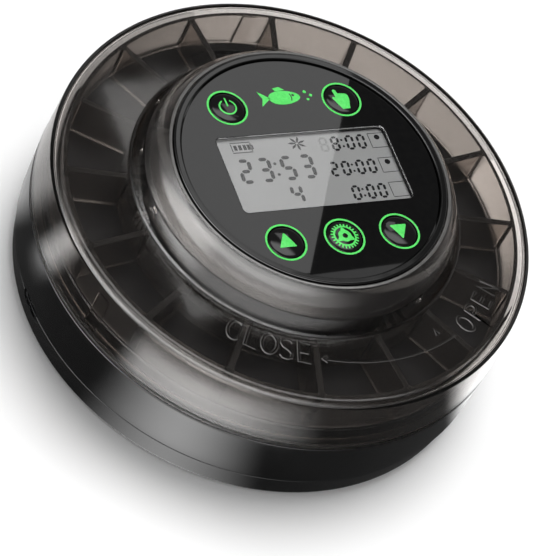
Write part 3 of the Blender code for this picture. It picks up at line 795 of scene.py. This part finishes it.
def make_charging_port():
    """The metal shell of the charging inlet, with its tongue."""
    port = middle("charging_port")
    depth = 7.4 * MM
    half_width, half_height, wall = 4.47 * MM, 1.6 * MM, 0.32 * MM
    shell = plate("port", [stadium(half_width, half_height, 20)], 0, depth, 0.12 * MM)
    hollow = stadium(half_width - wall, half_height - wall, 20)
    shell = cut(shell, plate("hollow", [hollow], 1 * MM, depth + 1 * MM))
    shell = join(shell, block("tongue", (6.7 * MM, 0.7 * MM, 5.4 * MM), (0, 0, 3.2 * MM), 0, 0.15 * MM))
    facing_out(shell, "charging_port", math.hypot(port.x, port.y) - depth / 2)
    add_piece("charging_socket", shell, "plated_steel", "root", "charging_port", slot="steel")


def make_drop_chute():
    lo, hi = heights("drop_chute")
    mesh = plate("drop_chute", [outlet_outline(1.3 * MM), outlet_outline()], lo, hi, 0.25 * MM)
    add_piece("outlet_chute", mesh, "matt_black", "root", "drop_chute", slot="black_matt")


# ---- Cover, seal and tray

def dome_outline():
    """Down the outside of the dome from the edge of its hole, in two swelling bands, to the ring."""
    top = 60.8 * MM
    crease = (48.0 * MM, 52.8 * MM)
    shoulder = (DOME_HOLE + 0.9 * MM, top - 0.15 * MM)
    upper = band(shoulder, crease, 0.7 * MM)
    lower = band(crease, DOME_FOOT, 0.08 * MM)
    lip = rounded([(DOME_HOLE, top - 1.2 * MM, 0), (DOME_HOLE, top, 0.35 * MM), (*shoulder, 0.45 * MM),
                   (*upper[1], 0)])
    return lip + upper[2:] + lower[1:]


def band(start, end, swell, steps=10):
    """A flat arc from start to end that bulges outwards by swell in its middle."""
    a, b = Vector(start), Vector(end)
    across = (b - a).normalized()
    out = Vector((-across.y, across.x))
    if out.x < 0:
        out = -out
    points = []
    for i in range(steps + 1):
        t = i / steps
        p = a.lerp(b, t) + out * (swell * 4 * t * (1 - t))
        points.append((p.x, p.y))
    return points


def cover_outline():
    edge = low("cover").z
    wide = radius("cover")
    outer = rounded([
        (*DOME_FOOT, 0),
        (51.2 * MM, RING_TOP, 0.45 * MM),
        (73.75 * MM, RING_TOP, 2.6 * MM),
        (wide - 0.05 * MM, edge, 0.15 * MM),
        (wide - COVER_WALL, edge, 0.15 * MM),
        (72.15 * MM, 46.0 * MM, 1.4 * MM),
        (49.3 * MM, 46.0 * MM, 0.9 * MM),
        (46.9 * MM, 51.9 * MM, 1.0 * MM),
        (DOME_HOLE, 58.9 * MM, 0.3 * MM),
        (DOME_HOLE, 60.3 * MM, 0),
    ], steps=10)
    return dome_outline() + outer[1:-1]


def place_stroke(path, length, azimuth):
    """A letter's path, drawn about its own middle with its top towards the hub, set on the ring."""
    turn = Matrix.Rotation(math.radians(azimuth + 90), 2)
    at = Vector(polar(length, azimuth))
    return [tuple(at + turn @ Vector(point)) for point in path]


def letter_strokes(letter):
    """Single-line strokes of a letter, in a box two units high and about 1.4 wide."""
    bowl = oval(0.55, 0.5, range(90, -91, -18), (0.1, 0.5))
    return {
        "C": [oval(0.68, 1, range(50, 311, 20))],
        "O": [oval(0.68, 1, range(0, 361, 18))],
        "L": [[(-0.5, 1), (-0.5, -1), (0.55, -1)]],
        "E": [[(0.55, 1), (-0.5, 1), (-0.5, -1), (0.55, -1)], [(-0.5, 0), (0.4, 0)]],
        "S": [[(0.5, 0.72), (0.3, 0.95), (-0.1, 1), (-0.45, 0.82), (-0.5, 0.5), (-0.3, 0.2), (0.25, -0.1),
               (0.5, -0.4), (0.45, -0.8), (0.1, -1), (-0.3, -0.95), (-0.52, -0.7)]],
        "P": [[(-0.45, -1), (-0.45, 1), *bowl, (-0.4, 0)]],
        "N": [[(-0.5, -1), (-0.5, 1), (0.5, -1), (0.5, 1)]],
    }[letter]


def raised(path, share=1.0, narrow=1.0):
    """A ridge on the flat ring, of a share of the lettering's height."""
    height = EMBOSS_HEIGHT * share
    slope = EMBOSS_SLOPE * (EMBOSS_DEPTH + height) / (EMBOSS_DEPTH + EMBOSS_HEIGHT)
    return ridge(path, EMBOSS_WIDTH * narrow, RING_TOP - EMBOSS_DEPTH, RING_TOP + height, slope)


def lettering():
    """Raised words and an arrow on the flat ring, which say how the cover turns."""
    ridges = []
    for word, length, first, pitch, height in (("CLOSE", 56.7 * MM, -129.4, 5.2, LETTER_HEIGHT),
                                               ("OPEN", 62.1 * MM, -54.6, 5.1, LETTER_HEIGHT * 0.85)):
        for number, letter in enumerate(word):
            for stroke in letter_strokes(letter):
                path = [(x * height / 2, y * height / 2) for x, y in stroke]
                ridges.append(raised(place_stroke(path, length, first + pitch * number)))
    steps = 40
    start, end = -103.1, -60.1
    tail = [polar((58.1 + 4.3 * i / steps) * MM, start + (end - start) * i / steps) for i in range(steps + 1)]
    ridges.append(raised(tail, 0.5, 0.65))
    head = scaled([(1.5, 0.9), (0, 0), (1.5, -0.9)])
    ridges.append(raised(place_stroke(head, 58.1 * MM, start - 0.2)))
    tick = scaled([(-0.7, -1.1), (0, 0.7), (0.7, -1.1)])
    ridges.append(raised(place_stroke(tick, 58.0 * MM, -64.0)))
    return ridges


def paint_edge_highlights(mesh):
    """Give the lettering's sides and the wall's lower edge a lighter grey, a painted highlight that reads as
    thin light lines, and the lip of the hole its own painted highlight.
    """
    mesh.materials.append(MATERIALS["frosted_edge"])
    mesh.materials.append(MATERIALS["bright_edge"])
    bottom = low("cover").z
    for face in mesh.polygons:
        x, y, z = face.center
        length = math.hypot(x, y)
        on_letter = 51.5 * MM < length < 68 * MM and z > RING_TOP + 0.02 * MM and face.normal.z < 0.98
        if on_letter or z < bottom + 1.1 * MM:
            face.material_index = 1
        elif length < 43.1 * MM and z > 60.4 * MM:
            face.material_index = 2


def make_cover():
    mesh = lathe("cover", cover_outline())
    for azimuth in LUG_AZIMUTHS:
        place = (*polar(72.6 * MM, azimuth), 35.75 * MM)
        mesh = join(mesh, block("lug", LUG_SIZE, place, azimuth, 0.35 * MM))
    for azimuth in TAB_AZIMUTHS:
        place = (*polar(48.2 * MM, azimuth), 50.4 * MM)
        mesh = join(mesh, block("tab", TAB_SIZE, place, azimuth, 0.3 * MM))
    for stroke in lettering():
        mesh = join(mesh, stroke)
    lid = add_piece("smoky_lid", mesh, "smoky_cover", "cover", "cover", slot="smoke_clear")
    paint_edge_highlights(lid.data)


def make_seal():
    lo, hi = heights("cover_seal")
    wide = radius("cover_seal")
    outline = rounded([
        (wide, hi, 0.35 * MM),
        (wide, lo, 0.35 * MM),
        (70.9 * MM, lo, 0.3 * MM),
        (70.9 * MM, hi, 0.3 * MM),
    ])
    mesh = lathe("seal", outline)
    add_piece("lid_seal", mesh, "smoky_silicone", "cover_seal", "cover_seal", slot="seal_silicone")


def compartment(index):
    """One compartment between two ribs whose sides are parallel, with small rounded corners."""
    inner, outer = TRAY_WALLS
    start = RIB_ANGLE + index * 360 / COMPARTMENTS
    end = start + 360 / COMPARTMENTS
    outer_half = math.degrees(math.asin(RIB_WIDTH / 2 / outer))
    inner_half = math.degrees(math.asin(RIB_WIDTH / 2 / inner))
    outside = arc(outer, start + outer_half, end - outer_half, 12)
    inside = arc(inner, end - inner_half, start + inner_half, 10)
    corners = [(x, y, 0.0) for x, y in outside + inside]
    for i in (0, 12, 13, 23):
        corners[i] = (*corners[i][:2], 0.7 * MM)
    return rounded(corners, steps=4)


def make_tray():
    lo, hi = heights("food_tray")
    inner, outer = TRAY_RADII
    outlines = [circle(outer, SIDES), circle(inner, SIDES)]
    outlines += [compartment(i) for i in range(COMPARTMENTS)]
    mesh = plate("tray", outlines, lo, hi, 0.28 * MM)
    add_piece("compartment_tray", mesh, "smoky_tray", "tray", "food_tray", slot="tray_plastic")


# ---- Hub and control panel

def make_hub():
    lo = low("hub_housing").z
    outline = rounded([
        (41.4 * MM, 57.6 * MM, 0.3 * MM),
        (41.4 * MM, 56.0 * MM, 0.8 * MM),
        (44.0 * MM, 50.5 * MM, 1.5 * MM),
        (44.0 * MM, lo, 0.4 * MM),
        (42.4 * MM, lo, 0),
        (42.4 * MM, 50.0 * MM, 0.5 * MM),
        (39.9 * MM, 55.6 * MM, 0.5 * MM),
        (39.9 * MM, 57.6 * MM, 0.2 * MM),
    ])
    mesh = lathe("hub", outline)
    for number in range(1, 5):
        post = middle(f"hub_screw_{number}")
        mesh = join(mesh, cylinder(3.5 * MM, lo, 46.7 * MM, post))
        for bottom, top, size in ((30 * MM, 39 * MM, 1.5 * MM), (41 * MM, 48 * MM, 1.3 * MM)):
            mesh = cut(mesh, cylinder(size, bottom, top, post, 24))
    mesh = cut(mesh, cylinder(8.05 * MM, 30 * MM, 39 * MM, middle("drive_pinion"), 48))
    add_piece("hub_shell", mesh, "matt_black", "root", "hub_housing", slot="black_matt")


def make_bezel():
    outer = radius("bezel_ring")
    bottom, top = heights("bezel_ring")
    inner = 39.75 * MM
    ledge = 58.6 * MM
    outline = rounded([
        (outer, top, 0.55 * MM),
        (outer, bottom, 0.2 * MM),
        (38.6 * MM, bottom, 0),
        (38.6 * MM, ledge, 0),
        (inner, ledge, 0),
        (inner, top, 0.3 * MM),
    ])
    mesh = lathe("bezel", outline)
    add_piece("panel_bezel", mesh, "polished_black", "root", "bezel_ring", slot="black_gloss")


def window_outline(shrink=0.0):
    x0, y0, x1, y1 = WINDOW
    return softened(rectangle(x0 + shrink, y0 + shrink, x1 - shrink, y1 - shrink), WINDOW_CORNER, 8)


def make_panel():
    lo, hi = heights("glass_panel")
    places = [middle(f"{name}_button") for name in PRESSES]
    inner, outer = RING_RADII
    holes = [circle(inner, SMALL_SIDES, place) for place in places]
    outline = circle(radius("glass_panel"), SIDES)
    mesh = plate("panel", [outline, window_outline(), *holes], lo, hi - 0.01 * MM, 0.12 * MM)
    add_piece("printed_panel", mesh, "panel_print", "root", "glass_panel", slot="panel_black")
    pane = plate("pane", [window_outline(0.03 * MM)], hi - 0.8 * MM, hi - 0.01 * MM, 0.03 * MM)
    add_piece("display_window", pane, "clear_pane", "root", slot="panel_black")
    rings = [[circle(outer, 96, place), circle(inner + 0.05 * MM, 96, place)] for place in places]
    add_piece("button_rings", printed(rings, hi), "green_ink", "root", slot="panel_black")
    add_piece("fish_sign", printed(in_metres(fish_sign()), hi), "green_ink", "root", slot="panel_black")


def printed(shapes, surface, gap=0.005 * MM):
    """Shapes in ink a hair above a level surface."""
    bottom = surface + gap
    return to_mesh("print", merged([plate("print", shape, bottom, bottom + INK) for shape in shapes]))


def fish_sign():
    """A plain fish with three pellets in front of it."""
    x, y = 0.6, 25.6
    body = []
    for i in range(24):
        t = math.radians(360 * i / 24)
        taper = 1 - 0.15 * math.cos(t)
        body.append((x + 5.2 * math.cos(t), y + 2.5 * math.sin(t) * taper))
    gill = oval(0.8, 1.6, range(-55, 56, 11), (x + 1.5, y))
    tail = [(x - 4.6, y), (x - 8.2, y + 2.8), (x - 7.2, y), (x - 8.2, y - 2.8)]
    fin = [(x + 1.0, y + 2.75), (x - 0.6, y + 4.0), (x - 2.8, y + 3.6), (x - 2.2, y + 2.5)]
    pellets = [[circle(0.55, 20, (x + 7.2, y + 1.6))], [circle(0.5, 20, (x + 8.8, y + 0.2))],
               [circle(0.45, 20, (x + 7.4, y - 1.2))]]
    return [[body, circle(0.45, 16, (x + 3.0, y + 0.7)), ridge_outline(gill, 0.35)], [tail], [fin], *pellets]


def ridge_outline(path, width):
    """The outline of a line of constant width along a flat path."""
    left, right = [], []
    for here, side in steps_along(path):
        left.append(tuple(here + side * (width / 2)))
        right.append(tuple(here - side * (width / 2)))
    return left + right[::-1]


# ---- Button caps and their signs

CAP_RADIUS = 5.35 * MM
CAP_CURVE = 28 * MM


def dome_drop(length):
    """How far the cap's top has fallen at this distance from its middle."""
    return CAP_CURVE - math.sqrt(CAP_CURVE ** 2 - length ** 2)


def make_caps():
    top = high("power_button").z
    for name in PRESSES:
        node = f"{name}_button"
        place = middle(node)
        dome = [(4.7 * MM * i / 10, top - dome_drop(4.7 * MM * i / 10)) for i in range(11)]
        edge = rounded([
            (*dome[-1], 0),
            (CAP_RADIUS, top - dome_drop(CAP_RADIUS) - 0.15 * MM, 0.35 * MM),
            (CAP_RADIUS, 58.5 * MM, 0),
            (6.3 * MM, 58.5 * MM, 0.15 * MM),
            (6.3 * MM, 57.3 * MM, 0.15 * MM),
            (2.2 * MM, 57.3 * MM, 0.2 * MM),
            (2.2 * MM, low(node).z, 0.3 * MM),
            (0, low(node).z, 0),
        ])
        mesh = lathe(node, dome + edge[1:], place, 96)
        add_piece(f"{name}_cap", mesh, "polished_black", node, node, slot="button_black")
        sign = draped(in_metres(SIGNS[name]()), place, top)
        add_piece(f"{name}_sign", sign, "green_ink", node, slot="button_black")


def draped(shapes, place, top):
    """Flat shapes laid over the cap's dome, a hair above it."""
    shape = merged([plate("sign", outlines, 0, INK) for outlines in shapes])
    bmesh.ops.triangulate(shape, faces=shape.faces)
    for _ in range(5):
        long_edges = [e for e in shape.edges if e.calc_length() > 0.6 * MM]
        if not long_edges:
            break
        bmesh.ops.subdivide_edges(shape, edges=long_edges, cuts=1)
        bmesh.ops.triangulate(shape, faces=shape.faces)
    for vert in shape.verts:
        vert.co.z += top - dome_drop(math.hypot(vert.co.x, vert.co.y)) + 0.015 * MM
        vert.co.x += place.x
        vert.co.y += place.y
    return to_mesh("sign", shape)


def power_sign():
    ring = ridge_outline(arc(2.55, 118, 422, 36), 0.5)
    return [[ring], [softened(rectangle(-0.25, 0.1, 0.25, 3.4), 0.2, 4)]]


def hand_sign():
    """A hand with its first finger raised."""
    outline = [(-2.1, 3.4), (-1.5, 3.7), (-1.0, 3.3), (-0.75, 2.0), (0.5, 1.9), (1.9, 1.7), (2.35, 1.1),
               (2.3, -0.6), (1.9, -1.8), (1.6, -3.6), (-0.9, -3.7), (-1.6, -2.6), (-2.4, -1.0), (-3.0, 0.3),
               (-2.8, 0.9), (-2.3, 0.8), (-1.9, 0.3)]
    return [[softened(outline, 0.12, 3)]]


def up_sign():
    return [[softened([(-2.75, -1.9), (2.75, -1.9), (0, 3.2)], 0.25, 4)]]


def down_sign():
    return [[softened([(-2.75, 2.1), (0, -3.0), (2.75, 2.1)], 0.25, 4)]]


def gear_sign():
    """A toothed rim round a hub with three spokes."""
    teeth = 24
    rim = []
    for i in range(teeth):
        for shift, length in ((-0.28, 3.55), (-0.2, 4.3), (0.2, 4.3), (0.28, 3.55)):
            rim.append(polar(length, 90 + 360 * (i + shift) / teeth))
    hub = []
    for i in range(90):
        swell = max(0.0, math.cos(math.radians(12 * i))) ** 3
        hub.append(polar(2.05 + 0.93 * swell, 90 + 4 * i))
    return [[rim, circle(3.0, 72)], [hub, circle(0.85, 30)]]


SIGNS = {"power": power_sign, "feed": hand_sign, "up": up_sign, "settings": gear_sign, "down": down_sign}


# ---- Display

SEGMENTS = {"0": "abcdef", "2": "abged", "3": "abgcd", "4": "fgbc", "5": "afgcd", "8": "abcdefg"}


def segment(which, width, height, thick):
    """One bar of a seven-segment figure about its middle, with pointed ends and a gap all round."""
    half_w, half_h = width / 2 - thick / 2, height / 2 - thick / 2
    ends = {
        "a": ((-half_w, half_h), (half_w, half_h)),
        "b": ((half_w, half_h), (half_w, 0)),
        "c": ((half_w, 0), (half_w, -half_h)),
        "d": ((-half_w, -half_h), (half_w, -half_h)),
        "e": ((-half_w, 0), (-half_w, -half_h)),
        "f": ((-half_w, half_h), (-half_w, 0)),
        "g": ((-half_w, 0), (half_w, 0)),
    }[which]
    start, end = Vector(ends[0]), Vector(ends[1])
    along = (end - start).normalized()
    side = Vector((-along.y, along.x)) * (thick / 2)
    start = start + along * thick * 0.22
    end = end - along * thick * 0.22
    near = along * thick * 0.45
    return [start, start + near + side, end - near + side, end, end - near - side, start + near - side]


def figure(text, x, y, width, height, thick, lean=0.06):
    """The bars of one figure, leaning a little to the right."""
    outlines = []
    for which in SEGMENTS[text]:
        points = segment(which, width, height, thick)
        outlines.append([(x + p.x + p.y * lean, y + p.y) for p in points])
    return outlines


def frame_bars(x0, y0, x1, y1, thick):
    """A thin rectangle drawn as four strips."""
    low_side, high_side = y0 + 2 * thick, y1 - 2 * thick
    return [rectangle(x0, y0, x1, y0 + thick), rectangle(x0, y1 - thick, x1, y1),
            rectangle(x0, low_side, x0 + thick, high_side), rectangle(x1 - thick, low_side, x1, high_side)]


def fan_sign(x, y):
    """A fan of seven pointed blades, flatter than it is wide."""
    outlines = []
    for i in range(7):
        turn = 360 * i / 7 + 20
        blade = [polar(length, turn + shift)
                 for length, shift in ((0.4, -30), (2.0, -13), (3.0, 1), (1.8, 13), (0.5, 16))]
        outlines.append([(px + x, 0.85 * py + y) for px, py in blade])
    return outlines


def display_figures():
    outlines = []
    for text, x in (("2", -20.1), ("3", -13.8), ("5", -6.4), ("3", -0.15)):
        outlines += figure(text, x, 1.5, 4.4, 8.7, 1.2)
    outlines += figure("4", -7.0, -7.9, 3.9, 7.1, 1.1)
    dots = [(-10.2, 3.4, 0.5), (-10.2, -0.5, 0.5), (26.0, 9.9, 0.9), (26.0, 0.8, 0.9)]
    rows = ((8.75, "8", (11.7,)), (-0.3, "20", (8.0, 11.8)), (-9.25, "0", (11.8,)))
    for y, hours, places in rows:
        for text, x in [*zip(hours, places), ("0", 16.6), ("0", 20.4)]:
            outlines += figure(text, x, y, 2.8, 5.3, 0.78, 0.05)
        dots += [(14.1, y + 1.1, 0.36), (14.1, y - 1.2, 0.36)]
        outlines += frame_bars(23.2, y - 2.7, 28.8, y + 2.7, 0.18)
    outlines += [circle(size, 16, (x, y)) for x, y, size in dots]
    outlines += frame_bars(-21.8, 8.1, -15.3, 11.9, 0.28)
    outlines += [rectangle(x, 9.1, x + 1.0, 10.9) for x in (-21.0, -19.5, -18.0, -16.7)]
    outlines.append(rectangle(-15.2, 9.2, -14.8, 10.8))
    return outlines + fan_sign(-0.6, 9.9)


def ghost_figures():
    """Bars that are off, which still show faintly."""
    return figure("8", 7.9, 8.75, 2.7, 5.2, 0.62, 0.05)


def make_display():
    lo, hi = low("display_glass"), high("display_glass")
    surface = hi.z - 0.15 * MM
    outline = softened(rectangle(lo.x, lo.y, hi.x, hi.y), 0.3 * MM)
    mesh = plate("display", [outline], lo.z, surface, 0.08 * MM)
    add_piece("display_cell", mesh, "display_grey", "root", "display_glass", slot="display_grey")
    for name, outlines, ink in (("display_figures", display_figures(), "display_ink"),
                                ("display_ghosts", ghost_figures(), "ghost_ink")):
        mesh = printed(in_metres([outline] for outline in outlines), surface, 0.004 * MM)
        add_piece(name, mesh, ink, "root", slot="display_grey")


# ---- Carried-over nodes

CARRIED = {
    "dark_acetal": ("tray_ring_gear", "drive_pinion"),
    "plated_steel": ("index_magnet", "motor_shaft", "gear_motor", "motor_bracket",
                     *(f"{name}_switch" for name in PRESSES)),
    "turned_brass": ("shaft_bush",),
    "cell_wrap": ("battery_cell",),
    "matt_black": ("battery_cradle", "buzzer", "controller_chip", "hall_sensor", "display_frame"),
    "circuit_green": ("charging_board", "control_board"),
    "lead_sleeve": ("charging_leads", "battery_leads", "motor_leads"),
    "milky_diffuser": ("display_backlight",),
}


def finish_carried():
    for finish, nodes in CARRIED.items():
        for node in nodes:
            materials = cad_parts[node].data.materials
            materials.clear()
            materials.append(MATERIALS[finish])


# ---- Studio

def card_glow(name):
    """Emission whose strength is written at each corner of the card's mesh."""
    surface = bpy.data.materials.new(name)
    surface.use_nodes = True
    nodes = surface.node_tree.nodes
    nodes.remove(nodes["Principled BSDF"])
    glow = nodes.new("ShaderNodeEmission")
    level = nodes.new("ShaderNodeAttribute")
    level.attribute_name = "radiance"
    links = surface.node_tree.links
    links.new(level.outputs["Fac"], glow.inputs["Strength"])
    links.new(glow.outputs["Emission"], nodes["Material Output"].inputs["Surface"])
    return surface


def add_card(name, mesh, radiances):
    """A glowing card, which only shows in what it lights and where it is reflected."""
    level = mesh.attributes.new("radiance", "FLOAT", "POINT")
    for i, radiance in enumerate(radiances):
        level.data[i].value = radiance
    mesh.materials.append(card_glow(name))
    card = add_object(name, mesh)
    card.visible_camera = False
    card.visible_shadow = False
    card.visible_diffuse = False


def make_floor():
    recipe = Recipe("pale_floor", grey(PALE), 0.9)
    recipe.vary_color((3, 2), grey(PALE), grey(PALE + 0.01))
    shape = bmesh.new()
    bmesh.ops.create_grid(shape, x_segments=1, y_segments=1, size=6.0)
    mesh = to_mesh("floor", shape)
    mesh.materials.append(recipe.material)
    floor = add_object("floor", mesh)
    floor.visible_glossy = False


def smooth(value, start, end):
    t = min(1.0, max(0.0, (value - start) / (end - start)))
    return t * t * (3 - 2 * t)


def swell(value, centre, half_width):
    """A soft hump, 1 at the centre and 0 at the half width."""
    return smooth(half_width - abs(value - centre), 0.0, half_width)


def near_floor_radiance(length, azimuth):
    """What the walls mirror of the floor in front of them: black, with a few soft pools of light."""
    near = smooth(-length, -122 * MM, -112 * MM)
    far = smooth(length, 94 * MM, 104 * MM)
    away = smooth(length, 79 * MM, 84 * MM)
    front = (2.4 + 2.1 * away - 2.8 * far) * swell(azimuth, -131, 25)
    wide = 2.9 * far * smooth(azimuth, -157, -147) * smooth(-azimuth, 90, 120)
    side = 2.0 * swell(azimuth, -191, 8) * smooth(length, 84 * MM, 94 * MM)
    ends = 1.7 * smooth(azimuth, -52, -40) + 0.7 * smooth(-azimuth, 202, 214)
    return 0.06 + near * (front + wide + side + ends)


def make_near_floor():
    """A card on the floor in front of the object, which only its walls' reflections show."""
    inner, outer, start, end = 67 * MM, 260 * MM, -280, 20
    across, along = 60, 300
    shape = bmesh.new()
    rows = []
    levels = []
    for i in range(across + 1):
        length = inner + (outer - inner) * i / across
        azimuths = [start + (end - start) * j / along for j in range(along + 1)]
        rows.append([shape.verts.new((*polar(length, azimuth), 0.4 * MM)) for azimuth in azimuths])
        levels += [near_floor_radiance(length, azimuth) for azimuth in azimuths]
    for one, two in zip(rows, rows[1:]):
        for j in range(along):
            shape.faces.new((one[j], two[j], two[j + 1], one[j + 1]))
    add_card("near_floor", to_mesh("near_floor", shape), levels)


def reflected_card(name, corners, distance, radiance):
    """A card whose mirror image in the panel fills the given corners on it."""
    height = high("glass_panel").z
    eye = Vector((CAMERA_PLACE.x, CAMERA_PLACE.y, 2 * height - CAMERA_PLACE.z))
    shape = bmesh.new()
    verts = []
    for x, y in corners:
        ray = Vector((x, y, height)) - eye
        verts.append(shape.verts.new(eye + ray * (1 + distance / ray.length)))
    shape.faces.new(verts)
    add_card(name, to_mesh(name, shape), [radiance] * len(corners))


class Sky:
    """The studio round the object: plain grey with soft bright bands."""

    def __init__(self, level):
        self.world = bpy.data.worlds.new("studio")
        self.world.use_nodes = True
        self.tree = self.world.node_tree
        self.total = level
        self.way = self.tree.nodes.new("ShaderNodeTexCoord").outputs["Generated"]
        level_way = self.node("VectorMath", "MULTIPLY", self.way, (1.0, 1.0, 0.0)).outputs["Vector"]
        self.flat_way = self.node("VectorMath", "NORMALIZE", level_way).outputs["Vector"]

    def node(self, kind, operation, *values):
        """A maths node that takes numbers and other nodes' outputs."""
        node = self.tree.nodes.new(f"ShaderNode{kind}")
        node.operation = operation
        for socket, value in zip(node.inputs, values):
            if isinstance(value, bpy.types.NodeSocket):
                self.tree.links.new(value, socket)
            else:
                socket.default_value = value
        return node

    def maths(self, operation, *values):
        return self.node("Math", operation, *values).outputs["Value"]

    def along(self, way, axis):
        return self.node("VectorMath", "DOT_PRODUCT", way, axis).outputs["Value"]

    def step(self, value, start, end):
        """From 0 to 1 as the value goes from start to end."""
        node = self.tree.nodes.new("ShaderNodeMapRange")
        node.interpolation_type = "SMOOTHSTEP"
        limits = {"From Min": min(start, end), "From Max": max(start, end),
                  "To Min": float(start > end), "To Max": float(start < end)}
        for key, limit in limits.items():
            node.inputs[key].default_value = limit
        self.tree.links.new(value, node.inputs["Value"])
        return node.outputs["Result"]

    def band(self, azimuth, half_width, soft, elevations, radiance):
        """A bright band round an azimuth, between four elevations: dark, full, full, dark."""
        facing = self.along(self.flat_way, (*polar(1.0, azimuth), 0.0))
        height = self.along(self.way, (0.0, 0.0, 1.0))
        edge, full = (math.cos(math.radians(half_width + sign * soft)) for sign in (1, -1))
        dark, low_full, high_full, high_dark = (math.sin(math.radians(e)) for e in elevations)
        rise = self.step(height, dark, low_full)
        fall = self.step(height, high_dark, high_full)
        mask = self.maths("MULTIPLY", self.maths("MULTIPLY", rise, fall), self.step(facing, edge, full))
        self.total = self.maths("ADD", self.total, self.maths("MULTIPLY", mask, radiance))

    def finish(self):
        background = self.tree.nodes["Background"]
        self.tree.links.new(self.total, background.inputs["Strength"])
        background.inputs["Color"].default_value = (1.0, 1.0, 1.0, 1.0)
        self.world.cycles_visibility.diffuse = False
        bpy.context.scene.world = self.world


def add_sun(name, strength, width, azimuth, elevation):
    """Soft light from one side of the sky, which clear and polished surfaces don't show."""
    lamp = bpy.data.lights.new(name, "SUN")
    lamp.energy = strength
    lamp.angle = math.radians(width)
    obj = add_object(name, lamp)
    obj.visible_glossy = False
    obj.visible_transmission = False
    height = math.radians(elevation)
    obj.location = (*polar(math.cos(height), azimuth), math.sin(height))
    obj.rotation_mode = "QUATERNION"
    obj.rotation_quaternion = obj.location.to_track_quat("Z", "Y")


def make_lights():
    sky = Sky(0.07)
    sky.band(-150, 66, 30, (0, 8, 34, 50), 2.6)
    sky.band(-140, 42, 26, (18, 32, 44, 56), 4.2)
    sky.band(-190, 18, 16, (0, 10, 30, 40), 4.5)
    sky.band(-170, 30, 28, (56, 66, 76, 84), 3.0)
    sky.band(47, 62, 20, (-20, -10, 10, 24), 0.3)
    sky.band(55, 40, 20, (53, 59, 72, 82), 2.4)
    sky.finish()
    add_sun("top_light", 2.4, 34, 47, 72)
    add_sun("fill_light", 1.7, 170, -132, 80)
    make_near_floor()
    far_corner = scaled([(-14.3, -36), (24.8, 31.4), (31, 42), (31, 48), (-46, 48), (-46, -36)])
    reflected_card("panel_card", far_corner, 0.45, 1.5)
    near_chord = scaled([(-15, -36.7), (18, -35.9), (20, -44), (-20, -44)])
    reflected_card("chord_card", near_chord, 0.45, 0.8)


def make_camera():
    data = bpy.data.cameras.new("camera")
    data.lens = CAMERA_LENS
    data.sensor_width = 36
    data.clip_start = 0.01
    camera = add_object("camera", data)
    camera.matrix_world = Matrix.Translation(CAMERA_PLACE) @ Matrix(CAMERA_AXES).transposed().to_4x4()
    bpy.context.scene.camera = camera


def set_view():
    scene = bpy.context.scene
    scene.view_settings.view_transform = "Standard"
    scene.cycles.caustics_refractive = False
    scene.cycles.caustics_reflective = False
    scene.cycles.max_bounces = 24
    scene.cycles.transmission_bounces = 24
    scene.cycles.transparent_max_bounces = 24


make_camera()
make_floor()
make_lights()
set_view()
make_base_shell()
make_bottom_cover()
make_feet()
make_screws()
make_charging_port()
make_drop_chute()
make_tray()
make_hub()
make_bezel()
make_panel()
make_caps()
make_display()
make_seal()
make_cover()
finish_carried()
